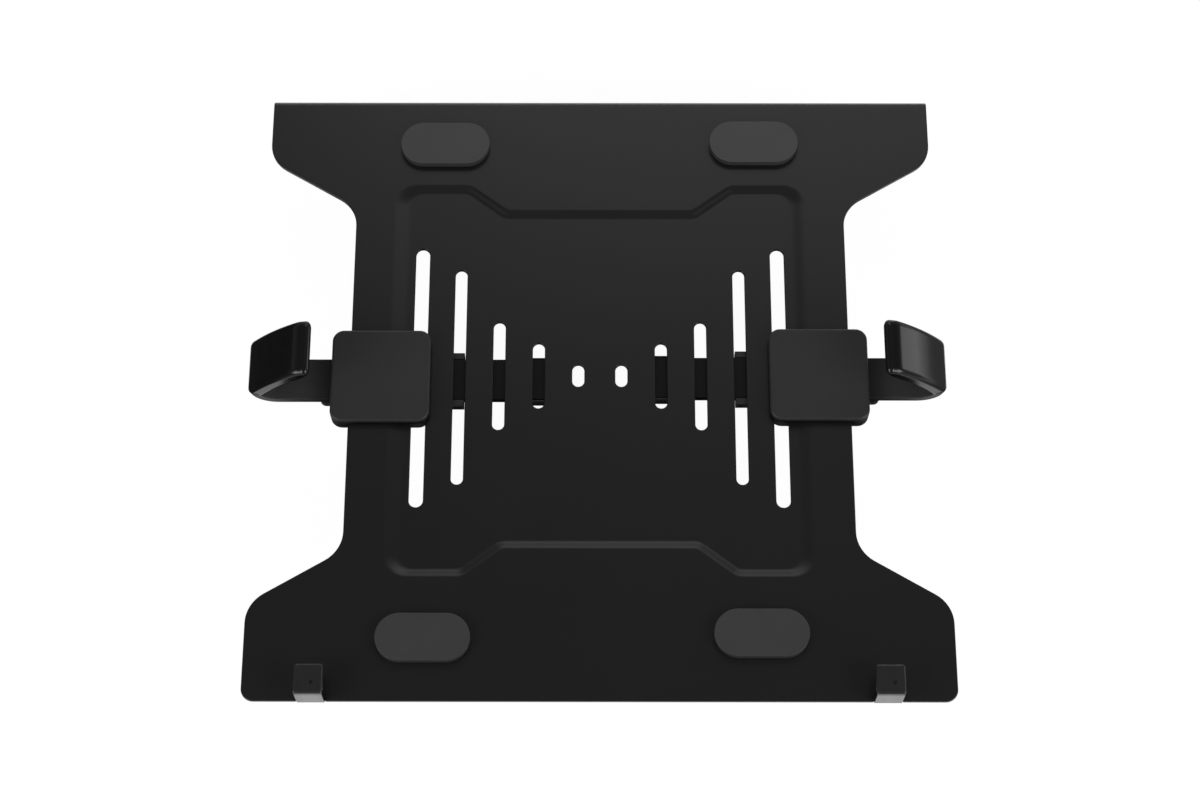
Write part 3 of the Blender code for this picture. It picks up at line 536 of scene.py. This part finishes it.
# a node group that puts one shape on each point of the object's mesh
class Tree:

    def __init__(self, name, inputs):
        self.group = bpy.data.node_groups.new(name, "GeometryNodeTree")
        self.socket("Geometry", "Geometry")
        self.sockets = {label: self.socket(label, "Float") for label in inputs}
        self.finish = self.socket("Finish", "Material")
        self.socket("Geometry", "Geometry", "OUTPUT")
        self.entry = self.group.nodes.new("NodeGroupInput")
        self.exit = self.group.nodes.new("NodeGroupOutput")

    def socket(self, label, kind, way="INPUT"):
        return self.group.interface.new_socket(label, in_out=way, socket_type=f"NodeSocket{kind}")

    # wires are named by socket, and hold a socket, the name of a group input, or a value
    def add(self, kind, settings=None, **wires):
        node = self.group.nodes.new(kind)
        for key, value in (settings or {}).items():
            setattr(node, key, value)
        for key, value in wires.items():
            self.wire(node, key.replace("_", " "), value)
        return node

    def wire(self, node, key, value):
        socket = node.inputs[int(key)] if key.isdigit() else node.inputs[key]
        if isinstance(value, bpy.types.NodeSocket):
            self.group.links.new(value, socket)
        elif isinstance(value, str):
            self.group.links.new(self.entry.outputs[value], socket)
        else:
            socket.default_value = value

    def math(self, operation, a, b=0.0):
        node = self.add("ShaderNodeMath", {"operation": operation})
        self.wire(node, "0", a)
        self.wire(node, "1", b)
        return node.outputs[0]

    def half(self, value):
        return self.math("MULTIPLY", value, 0.5)

    def twice(self, value):
        return self.math("MULTIPLY", value, 2.0)

    def vector(self, x=0.0, y=0.0, z=0.0):
        return self.add("ShaderNodeCombineXYZ", X=x, Y=y, Z=z).outputs[0]

    def place(self):
        return self.add("ShaderNodeSeparateXYZ", Vector=self.add("GeometryNodeInputPosition").outputs[0])

    # moves each point out from the axis by a share of its own distance
    def widened(self, geometry, place, share):
        shift = self.vector(*[self.math("MULTIPLY", place.outputs[axis], share) for axis in "XY"])
        return self.add("GeometryNodeSetPosition", Geometry=geometry, Offset=shift).outputs[0]

    def cylinder(self, sides, radius, depth, z, rows=1):
        made = self.add("GeometryNodeMeshCylinder", Vertices=sides, Side_Segments=rows,
                        Radius=radius, Depth=depth)
        return self.raised(made, z)

    def block(self, x, y, z, height):
        return self.raised(self.add("GeometryNodeMeshCube", Size=self.vector(x, y, z)), height)

    def raised(self, made, z):
        moved = self.add("GeometryNodeTransform", Geometry=made.outputs["Mesh"], Translation=self.vector(z=z))
        return moved.outputs[0]

    def boolean(self, operation, first, *others):
        node = self.add("GeometryNodeMeshBoolean", {"operation": operation, "solver": "EXACT"})
        self.group.links.new(first, node.inputs[0 if operation == "DIFFERENCE" else 1])
        for other in others:
            self.group.links.new(other, node.inputs[1])
        return node.outputs[0]

    def close(self, shape):
        points = self.add("GeometryNodeMeshToPoints", Mesh=self.entry.outputs["Geometry"])
        placed = self.add("GeometryNodeInstanceOnPoints", Points=points.outputs[0], Instance=shape)
        real = self.add("GeometryNodeRealizeInstances", Geometry=placed.outputs[0])
        done = self.add("GeometryNodeSetMaterial", Geometry=real.outputs[0], Material="Finish")
        self.group.links.new(done.outputs[0], self.exit.inputs[0])

    def use(self, name, points, values, finish):
        mesh = bpy.data.meshes.new(name)
        mesh.from_pydata(points, [], [])
        piece = bpy.data.objects.new(name, mesh)
        modifier = piece.modifiers.new("shape", "NODES")
        modifier.node_group = self.group
        for label, socket in self.sockets.items():
            modifier[socket.identifier] = values[label]
        modifier[self.finish.identifier] = finishes[finish]
        bpy.context.scene.collection.objects.link(piece)
        return piece


pads = {
    "places": {
        "pad_back_left": (-0.0799, 0.13385), "pad_back_right": (0.0793, 0.13485),
        "pad_front_left": (-0.0844, -0.13055), "pad_front_right": (0.0775, -0.12825),
    },
    "Length": 0.0455, "Width": 0.0236, "Height": 0.0037,
    "endShare": 0.4999, "endSteps": 20, "bevel": (0.0009, 5, 60),
}


def makePads():
    tree = Tree("roundEndedPad", ("Length", "Width", "Height"))
    plan = tree.add("GeometryNodeCurvePrimitiveQuadrilateral", Width="Length", Height="Width")
    ends = tree.add("GeometryNodeFilletCurve", {"mode": "POLY"}, Curve=plan.outputs[0],
                    Count=pads["endSteps"], Radius=tree.math("MULTIPLY", "Width", pads["endShare"]))
    face = tree.add("GeometryNodeFillCurve", {"mode": "NGONS"}, Curve=ends.outputs[0])
    raised = tree.add("GeometryNodeExtrudeMesh", Mesh=face.outputs[0], Offset_Scale="Height",
                      Individual=False)
    under = tree.add("GeometryNodeFlipFaces", Mesh=face.outputs[0])
    both = tree.add("GeometryNodeJoinGeometry")
    for part in (raised, under):
        tree.group.links.new(part.outputs[0], both.inputs[0])
    tree.close(tree.add("GeometryNodeMergeByDistance", Geometry=both.outputs[0], Distance=nearly).outputs[0])
    points = [(x, y, plateTop + fitGap) for x, y in pads["places"].values()]
    piece = softened(tree.use("rubberPads", points, pads, "padRubber"), *pads["bevel"])
    dress(piece, "padRubber", "tray", "grey_rubber", *pads["places"])


makePads()
print("pads made")


standoff = {
    "Across": 0.011547, "Length": 0.0180, "Bore": 0.0040, "Bore Depth": 0.0120,
    "Groove": 0.00022, "Pitch": 0.0007,
}
thread = {"sides": 28, "turns": 12, "start": 0.0012, "widthShare": 0.8}
standoffReach = 0.05    # from the middle of the slots' pattern, both ways
standoffPlaces = {
    f"standoff_{end}_{side}": (sx * standoffReach, tray["patternY"] + sy * standoffReach)
    for side, sx in (("left", -1), ("right", 1)) for end, sy in (("front", -1), ("back", 1))
}


# hexagonal spacers on their points, with a threaded hole from below
def makeStandoffs():
    tree = Tree("hexStandoff", tuple(standoff))
    body = tree.cylinder(6, tree.half("Across"), "Length", tree.half("Length"))
    bore = tree.cylinder(thread["sides"], tree.half("Bore"), tree.twice("Bore Depth"), 0.0)
    ring = tree.add("GeometryNodeMeshCylinder", Vertices=thread["sides"], Side_Segments=2,
                    Radius=tree.half("Bore"), Depth=tree.math("MULTIPLY", "Pitch", thread["widthShare"]))
    place = tree.place()
    halfWidth = tree.math("MULTIPLY", "Pitch", thread["widthShare"] / 2)
    away = tree.math("ABSOLUTE", tree.math("DIVIDE", place.outputs["Z"], halfWidth))
    bulge = tree.math("SUBTRACT", 1.0, away)
    share = tree.math("MULTIPLY", bulge, tree.math("DIVIDE", "Groove", tree.half("Bore")))
    groove = tree.widened(ring.outputs["Mesh"], place, share)
    line = tree.add("GeometryNodeMeshLine", Count=thread["turns"],
                    Start_Location=tree.vector(z=thread["start"]), Offset=tree.vector(z="Pitch"))
    grooves = tree.add("GeometryNodeInstanceOnPoints", Points=line.outputs[0], Instance=groove)
    cutters = tree.add("GeometryNodeRealizeInstances", Geometry=grooves.outputs[0])
    hollow = tree.boolean("DIFFERENCE", body, bore)
    tree.close(tree.boolean("DIFFERENCE", hollow, cutters.outputs[0]))
    points = [(x, y, 0.0) for x, y in standoffPlaces.values()]
    piece = tree.use("standoffs", points, standoff, "platedSteel")
    dress(evened(piece), "platedSteel", "tray", "plated_steel", *standoffPlaces)


makeStandoffs()
print("standoffs made")


hook = {
    "x": 0.1367, "face": -0.16135, "width": 0.0130, "stock": 0.0015, "bend": 0.0010, "foot": 0.0140,
    "tongueWidth": 0.0100, "tongueCut": 0.003, "headroom": 0.02, "top": 0.0134, "bevel": (0.00022, 2, 50),
    "capWidth": 0.0140, "capLength": 0.0146, "capTop": 0.0148, "capWall": 0.0011,
    "capEdge": 0.0012, "underEdge": 0.00072, "cornerStep": 15,
    "dimple": 0.0010, "dimpleDepth": 0.0009, "dimpleInset": 0.0056, "dimpleShift": 0.0016, "dimpleSides": 24,
}
bendRun = 0.0016    # the longest straight step in a bend


# points and headings along a bent strip: moves are (length,) or (radius, turn in degrees)
def trace(start, heading, moves, stepAngle=6.0):
    place, heading = Vector(start), math.radians(heading)
    stations = [(place.copy(), heading)]
    for move in moves:
        if len(move) == 1:
            place = place + Vector((math.cos(heading), math.sin(heading))) * move[0]
            stations.append((place.copy(), heading))
            continue
        radius, turn = move[0], math.radians(move[1])
        centre = place + Vector((-math.sin(heading), math.cos(heading))) * radius * math.copysign(1, turn)
        spoke = place - centre
        steps = max(leastSteps, round(abs(move[1]) / stepAngle), round(abs(turn) * radius / bendRun))
        for step in range(1, steps + 1):
            part = turn * step / steps
            stations.append((centre + Matrix.Rotation(part, 2) @ spoke, heading + part))
        place = stations[-1][0].copy()
        heading += turn
    return stations


def thickened(stations, halves):
    near, far = [], []
    for (place, heading), half in zip(stations, halves):
        across = Vector((-math.sin(heading), math.cos(heading))) * half
        near.append(tuple(place - across))
        far.append(tuple(place + across))
    return near + far[::-1]


def makeHookStrip(side, middle, shoulder, tongueEnd):
    h = hook
    half, wide, narrow = h["stock"] / 2, h["width"] / 2, h["tongueWidth"] / 2
    bend = h["bend"] + half
    footZ = -tray["sheet"] - fitGap - half
    moves = [
        (h["foot"] - half - bend,), (bend, -90), (h["top"] - half - footZ - 2 * bend,), (bend, -90),
        (tongueEnd - h["face"] - half - bend,),
    ]
    stations = trace((h["face"] + h["foot"], footZ), 180, moves)
    outline = thickened(stations, [half] * len(stations))
    strip = loft(f"frontHook_{side}", [
        [(middle + x, y, z + plateTop) for y, z in outline] for x in (-wide, wide)
    ])
    for low, high in ((-wide - overrun, -narrow), (narrow, wide + overrun)):
        cutBox(strip, (middle + low, shoulder, plateTop + h["top"] - h["tongueCut"]),
               (middle + high, tongueEnd + overrun, plateTop + h["headroom"]))
    dress(softened(strip, *h["bevel"]), "platedSteel", "tray", "plated_steel", f"front_hook_{side}")


def makeHookCap(side, middle, shoulder, tongueEnd):
    h = hook
    low = h["top"] - h["stock"] - fitGap - h["capWall"]
    left, right = middle - h["capWidth"] / 2, middle + h["capWidth"] / 2
    front, back = h["face"], h["face"] + h["capLength"]
    corners = [(x, y, h["capEdge"]) for x, y in ((left, front), (right, front), (right, back), (left, back))]
    levels = rim(low, h["underEdge"], -1)[::-1] + rim(h["capTop"], h["capEdge"], 1)
    cap = loft(f"hookCap_{side}", [
        level(rounded(grown(corners, -drawn), h["cornerStep"]), z) for z, drawn in levels
    ])
    ceiling = plateTop + h["top"] + fitGap
    wide, neck = h["capWidth"] / 2 + overrun, h["tongueWidth"] / 2 + fitGap
    cutBox(cap, (middle - wide, front - overrun, plateTop + low - overrun),
           (middle + wide, shoulder + fitGap, ceiling))
    cutBox(cap, (middle - neck, front - overrun, plateTop + low + h["capWall"]),
           (middle + neck, tongueEnd + fitGap, ceiling))
    dimple = circle((middle + h["dimpleShift"], front + h["dimpleInset"]), h["dimple"], h["dimpleSides"])
    cutHole(cap, dimple, h["capTop"] - h["dimpleDepth"], h["capTop"] + overrun)
    dress(evened(cap), "capRubber", "tray", "black_rubber", f"hook_cap_{side}")


for side, sign in (("left", -1), ("right", 1)):
    shoulder = hook["face"] + hook["stock"] + hook["bend"]
    tongueEnd = hook["face"] + hook["capLength"] - hook["capWall"] - fitGap
    makeHookStrip(side, sign * hook["x"], shoulder, tongueEnd)
    makeHookCap(side, sign * hook["x"], shoulder, tongueEnd)
print("hooks made")


clamp = {
    "inner": 0.0843, "outer": 0.1335, "width": 0.0488, "corner": 0.0058,
    "coverUnder": -0.0033, "coverTop": 0.0043, "coverEdge": 0.0013, "coverSteps": 6, "skirt": 0.1249,
    "bossX": 0.08995, "boss": 0.0032, "bossSides": 32,
    "y": {"left": 0.00405, "right": 0.00515},
    "screwX": (0.08995, 0.1292), "screwY": 0.0195, "baseUnder": -0.0059,
}


# side pieces are drawn for the right, and turned over for the left
def mirrored(piece, side):
    if side == "left":
        piece.data.transform(Matrix.Scale(-1, 4, (1, 0, 0)))
        piece.data.flip_normals()


def makeClamp(side):
    c = clamp
    half, y = c["width"] / 2, c["y"][side]
    plan = ((c["inner"], y - half), (c["outer"], y - half), (c["outer"], y + half), (c["inner"], y + half))
    corners = [(px, py, c["corner"]) for px, py in plan]
    levels = [(c["coverUnder"], 0.0)] + rim(c["coverTop"], c["coverEdge"], 1, c["coverSteps"])
    cover = loft(f"clampCover_{side}", [level(rounded(grown(corners, -drawn)), z) for z, drawn in levels])
    cutBox(cover, (c["inner"] - overrun, y - half - overrun, plateTop + c["coverUnder"] - overrun),
           (c["skirt"], y + half + overrun, plateTop + fitGap))
    for toward in (-1, 1):
        ring = circle((c["bossX"], y + toward * c["screwY"]), c["boss"], c["bossSides"])
        boss = loft("boss", [level(ring, z) for z in (c["coverUnder"], c["coverTop"] / 2)])
        boolean(cover, boss, "UNION")
    mirrored(cover, side)
    dress(evened(cover), "moulding", f"clamp_{side}", "black_moulding", f"clamp_cover_{side}")
    makeCopy("clamp_base", side, f"clamp_{side}")
    makeCopy("lock_lever", side, f"lever_{side}")
    makeCopy("lever_pin", side, f"clamp_{side}")


for side in ("left", "right"):
    makeClamp(side)
print("clamps made")


arm = {
    "y": {"left": 0.00505, "right": 0.00615}, "shift": {"left": 0.0023, "right": 0.0},
    "innerEnd": 0.0205, "outer": 0.1705, "barTop": -0.0036, "width": 0.0216, "thickness": 0.0043,
    "bend": 0.0084, "lean": 37.0, "bevel": (0.0005, 3, 50),
    "stopLength": 0.0160, "stopBore": 0.0018, "stopSides": 24, "stopFloor": -0.0096, "stopCeiling": -0.0052,
    "clawRadius": 0.1010, "clawAngle": 19.8, "clawStep": 4, "clawWidth": 0.0284, "wall": 0.0014,
    "coverLean": 26.0, "pocketRun": 0.001, "tip": 0.0054, "tipRun": 0.0080, "nosing": 0.0026, "noseSteps": 14,
    "clawEdge": 0.0021, "clawEdgeRun": 0.0036, "clawEdgeSteps": 8,
}


# middle line of the claw, from where its cover starts on the bend
def clawLine(angle):
    a = arm
    half = a["thickness"] / 2
    bend = a["bend"] + half
    lean = math.radians(a["coverLean"])
    centre = (a["outer"] - half - bend, a["barTop"] - half + bend)
    start = (centre[0] + bend * math.cos(lean), centre[1] + bend * math.sin(lean))
    return trace(start, 90 + a["coverLean"], [(bend, a["lean"] - a["coverLean"]), (a["clawRadius"], angle)],
                 a["clawStep"])


# side view of the claw's cover, drawn in by a distance
def clawOutline(drawn):
    a = arm
    stations = clawLine(a["clawAngle"])
    full, tip = a["thickness"] / 2 + fitGap + a["wall"], a["tip"] / 2
    run = [0.0]
    for (place, _), (after, _) in zip(stations, stations[1:]):
        run.append(run[-1] + (after - place).length)
    halves = []
    for travelled in run:
        share = max(0.0, (travelled - run[-1] + a["nosing"]) / a["nosing"])
        share = share * share * (3 - 2 * share)
        halves.append(full + (tip - full) * share - drawn)
    outline = thickened(stations, halves)
    along = Vector((math.cos(stations[0][1]), math.sin(stations[0][1]))) * drawn
    for index in (0, -1):
        outline[index] = tuple(Vector(outline[index]) + along)
    end, heading = stations[-1]
    nose = arc(end, tip - drawn, heading - math.pi / 2, math.pi, a["noseSteps"])[1:-1]
    return outline[:len(stations)] + nose + outline[len(stations):]


# a piece of an arm from side views, each at a distance across the arm
def armLoft(name, side, views):
    y, shift = arm["y"][side], arm["shift"][side]
    return loft(name, [
        [(x + shift, y + across, z + plateTop) for x, z in outline] for outline, across in views
    ])


def makeBar(side, barAngle):
    a = arm
    y, shift, half, wide = a["y"][side], a["shift"][side], a["thickness"] / 2, a["width"] / 2
    bend = a["bend"] + half
    moves = [(a["outer"] - half - bend - a["innerEnd"],), (bend, 90 + a["lean"]), (a["clawRadius"], barAngle)]
    stations = trace((a["innerEnd"], a["barTop"] - half), 0, moves)
    outline = thickened(stations, [half] * len(stations))
    bar = armLoft(f"armBar_{side}", side, [(outline, across) for across in (-wide, wide)])
    hole = circle((a["innerEnd"] + a["stopLength"] / 2 + shift, y), a["stopBore"], a["stopSides"])
    cutHole(bar, hole, a["stopFloor"], a["stopCeiling"])
    mirrored(bar, side)
    dress(softened(bar, *a["bevel"]), "armCoatPaintedLightShade", f"arm_{side}", "powder_coated_sheet", f"arm_bar_{side}")


def makeClaw(side, barAngle):
    a = arm
    high = a["clawWidth"] / 2
    steep = a["clawEdgeRun"]
    levels = [
        (high - steep * (high - y) / a["clawEdge"], drawn)
        for y, drawn in rim(high, a["clawEdge"], 1, a["clawEdgeSteps"])
    ]
    levels = [(-y, drawn) for y, drawn in levels[::-1]] + levels
    claw = armLoft(f"clawCover_{side}", side, [(clawOutline(drawn), across) for across, drawn in levels])
    inner = clawLine(barAngle)
    first, heading = inner[0]
    inner.insert(0, (first - Vector((math.cos(heading), math.sin(heading))) * a["pocketRun"], heading))
    last, heading = inner[-1]
    inner.append((last + Vector((math.cos(heading), math.sin(heading))) * fitGap, heading))
    pocket = thickened(inner, [a["thickness"] / 2 + fitGap] * len(inner))
    room = a["width"] / 2 + fitGap
    boolean(claw, armLoft("cutter", side, [(pocket, across) for across in (-room, room)]))
    mirrored(claw, side)
    dress(evened(claw), "glossMoulding", f"arm_{side}", "gloss_moulding", f"claw_cover_{side}")


for side in ("left", "right"):
    barAngle = arm["clawAngle"] - math.degrees(arm["tipRun"] / arm["clawRadius"])
    makeBar(side, barAngle)
    makeClaw(side, barAngle)
    makeCopy("arm_stop", side, f"arm_{side}")
print("arms made")


screw = {
    "Head": 0.0056, "Head Height": 0.0020, "Shank": 0.0030, "Shank Length": 0.0082,
    "Drive": 0.0032, "Drive Width": 0.0008, "Drive Depth": 0.0010,
}
screwForm = {
    "headSides": 32, "headRows": 7, "domePower": 3.0, "domeShare": -0.28, "shankSides": 24, "overlap": 0.0002,
}


# a pan-head screw that points up, with the object's point under its head
def screwTree():
    form = screwForm
    tree = Tree("panHeadScrew", tuple(screw))
    head = tree.cylinder(form["headSides"], tree.half("Head"), "Head Height", tree.half("Head Height"),
                         form["headRows"])
    place = tree.place()
    rise = tree.math("DIVIDE", place.outputs["Z"], "Head Height")
    drop = tree.math("POWER", tree.math("SUBTRACT", 1.0, rise), form["domePower"])
    domed = tree.widened(head, place, tree.math("MULTIPLY", drop, form["domeShare"]))
    middle = tree.math("ADD", "Head Height", tree.half("Shank Length"))
    length = tree.math("ADD", "Shank Length", form["overlap"])
    shank = tree.cylinder(form["shankSides"], tree.half("Shank"), length, middle)
    body = tree.boolean("UNION", domed, shank)
    deep = tree.twice("Drive Depth")
    across = tree.block("Drive", "Drive Width", deep, 0.0)
    along = tree.block("Drive Width", "Drive", deep, 0.0)
    tree.close(tree.boolean("DIFFERENCE", body, across, along))
    return tree


# four screws on each clamp and one on each stop, one mesh for each body
def makeScrews():
    tree = screwTree()
    c, a = clamp, arm
    headZ = plateTop + c["baseUnder"] - (screw["Head Height"] + fitGap)
    for side, sign in (("left", -1), ("right", 1)):
        names, points = [], []
        for column, x in zip(("inner", "outer"), c["screwX"]):
            for end, toward in (("front", -1), ("back", 1)):
                names.append(f"clamp_screw_{column}_{end}_{side}")
                points.append((sign * x, c["y"][side] + toward * c["screwY"], headZ))
        piece = tree.use(f"clampScrews_{side}", points, screw, "blackZinc")
        dress(evened(piece), "blackZinc", f"clamp_{side}", "black_fastener", *names)
        lowest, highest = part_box(f"arm_stop_screw_{side}")
        at = (sign * (a["innerEnd"] + a["stopLength"] / 2 + a["shift"][side]), a["y"][side], lowest.z)
        short = dict(screw)
        short["Shank Length"] = highest.z - lowest.z - screw["Head Height"]
        piece = tree.use(f"stopScrew_{side}", [at], short, "blackZinc")
        dress(evened(piece), "blackZinc", f"arm_{side}", "black_fastener", f"arm_stop_screw_{side}")


makeScrews()
print("screws made")


studio = {
    "aim": (0.0001, -0.00536, plateTop), "tilt": 22.06, "roll": 0.07, "distance": 1.2164,
    "lens": 73.5, "sensor": 36,
    "floorZ": -0.029, "floorThickness": 0.02, "floorReach": 60.0,
    "floorColor": 0.85, "floorWhite": 0.96, "floorShadow": 0.08,
    "sky": ((0.0, 0.30), (0.45, 0.25), (0.80, 0.10), (0.93, 0.12), (1.0, 0.24)),    # height and level
    "lamps": {
        "leftSoftbox": {"at": (-1.0, -0.65, 0.8), "size": (0.8, 0.8), "watts": 9.0},
        "rightSoftbox": {"at": (1.0, -0.65, 0.8), "size": (0.8, 0.8), "watts": 9.0},
        "backSoftbox": {"at": (0.10, 0.95, 1.0), "size": (0.9, 0.7), "watts": 2.1},
        "horizonSoftbox": {"at": (0.1, 1.8, 0.13), "size": (1.4, 0.22), "watts": 5.2},
        "lowSoftbox": {"at": (1.3, 0.38, 0.25), "size": (0.5, 0.50), "watts": 1.35},
    },
    "cards": {      # flags that only reflections see, which keep the sheet's edges and slot walls dark
        # painted shadow: a dark sheet on the floor under the tray, seen only in reflections, standing in for
        # the tray's shadow on the floor
        "underTrayShadowCard": {"low": (-0.165, -0.155, -0.0285), "high": (0.165, 0.155, -0.028), "color": 0.01},
        "leftCard": {"low": (-0.44, -0.25, -0.0285), "high": (-0.21, 0.45, -0.028), "color": 0.06},
        "leftFlag": {"low": (-0.445, -0.25, -0.029), "high": (-0.44, 0.45, 0.13), "color": 0.06},
        "rightCard": {"low": (0.23, -0.25, -0.0285), "high": (0.6, 0.45, -0.028), "color": 0.35},
    },
}


def grey(value):
    return (value, value, value, 1)


def plainMaterial(name, value):
    material = bpy.data.materials.new(name)
    material.use_nodes = True
    shader = material.node_tree.nodes["Principled BSDF"]
    shader.inputs["Roughness"].default_value = 1.0
    shader.inputs["Specular IOR Level"].default_value = 0.0
    shader.inputs["Base Color"].default_value = grey(value)
    return material, shader


def makeCamera(aim):
    tilt = math.radians(studio["tilt"])
    camera = bpy.data.objects.new("camera", bpy.data.cameras.new("camera"))
    camera.data.sensor_width = studio["sensor"]
    camera.data.lens = studio["lens"]
    camera.location = aim + studio["distance"] * Vector((0, -math.sin(tilt), math.cos(tilt)))
    turn = Matrix.Rotation(tilt, 3, "X") @ Matrix.Rotation(math.radians(studio["roll"]), 3, "Z")
    camera.rotation_euler = turn.to_euler()
    bpy.context.scene.collection.objects.link(camera)
    bpy.context.scene.camera = camera


# a grey sky, brighter at the horizon and overhead than between them
def makeSky():
    world = bpy.data.worlds.new("studio")
    bpy.context.scene.world = world
    world.use_nodes = True
    nodes, links = world.node_tree.nodes, world.node_tree.links
    parts = nodes.new("ShaderNodeSeparateXYZ")
    links.new(nodes.new("ShaderNodeTexCoord").outputs["Generated"], parts.inputs[0])
    ramp = nodes.new("ShaderNodeValToRGB")
    while len(ramp.color_ramp.elements) < len(studio["sky"]):
        ramp.color_ramp.elements.new(0.5)
    for element, (position, value) in zip(ramp.color_ramp.elements, studio["sky"]):
        element.position = position
        element.color = grey(value)
    links.new(parts.outputs["Z"], ramp.inputs["Fac"])
    links.new(ramp.outputs["Color"], nodes["Background"].inputs["Color"])
    nodes["Background"].inputs["Strength"].default_value = 1.0


# pale paper, which the camera and reflections see as white with a faint shadow
def makeFloor():
    reach, top = studio["floorReach"], studio["floorZ"]
    floor = box("floor", (-reach, -reach, top - studio["floorThickness"]), (reach, reach, top))
    paper, diffuse = plainMaterial("paleFloor", studio["floorColor"])
    nodes, links = paper.node_tree.nodes, paper.node_tree.links
    shaded = nodes.new("ShaderNodeBsdfDiffuse")
    shaded.inputs["Color"].default_value = grey(studio["floorShadow"])
    white = nodes.new("ShaderNodeEmission")
    white.inputs["Strength"].default_value = studio["floorWhite"]
    seen = nodes.new("ShaderNodeAddShader")
    links.new(shaded.outputs[0], seen.inputs[0])
    links.new(white.outputs[0], seen.inputs[1])
    path = nodes.new("ShaderNodeLightPath")
    rays = path.outputs["Is Camera Ray"]
    for other in ("Is Glossy Ray", "Is Transmission Ray"):
        either = nodes.new("ShaderNodeMath")
        either.operation = "MAXIMUM"
        links.new(rays, either.inputs[0])
        links.new(path.outputs[other], either.inputs[1])
        rays = either.outputs[0]
    mix = nodes.new("ShaderNodeMixShader")
    links.new(rays, mix.inputs["Fac"])
    links.new(diffuse.outputs[0], mix.inputs[1])
    links.new(seen.outputs[0], mix.inputs[2])
    links.new(mix.outputs[0], nodes["Material Output"].inputs["Surface"])
    floor.data.materials.append(paper)


def makeCards():
    for name, values in studio["cards"].items():
        card = box(name, values["low"], values["high"])
        card.data.materials.append(plainMaterial(name, values["color"])[0])
        card.visible_camera = card.visible_diffuse = card.visible_shadow = False


def makeLamps(aim):
    for name, values in studio["lamps"].items():
        light = bpy.data.lights.new(name, "AREA")
        light.shape = "RECTANGLE"
        light.size, light.size_y = values["size"]
        light.energy = values["watts"]
        lamp = bpy.data.objects.new(name, light)
        lamp.location = values["at"]
        lamp.rotation_euler = (aim - Vector(values["at"])).to_track_quat("-Z", "Y").to_euler()
        bpy.context.scene.collection.objects.link(lamp)


makeCamera(Vector(studio["aim"]))
makeSky()
makeFloor()
makeCards()
makeLamps(Vector(studio["aim"]))
bpy.context.scene.view_settings.view_transform = "Standard"
print("studio made")

for name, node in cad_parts.items():
    if not node.hide_render:
        print("still shown as CAD:", name)
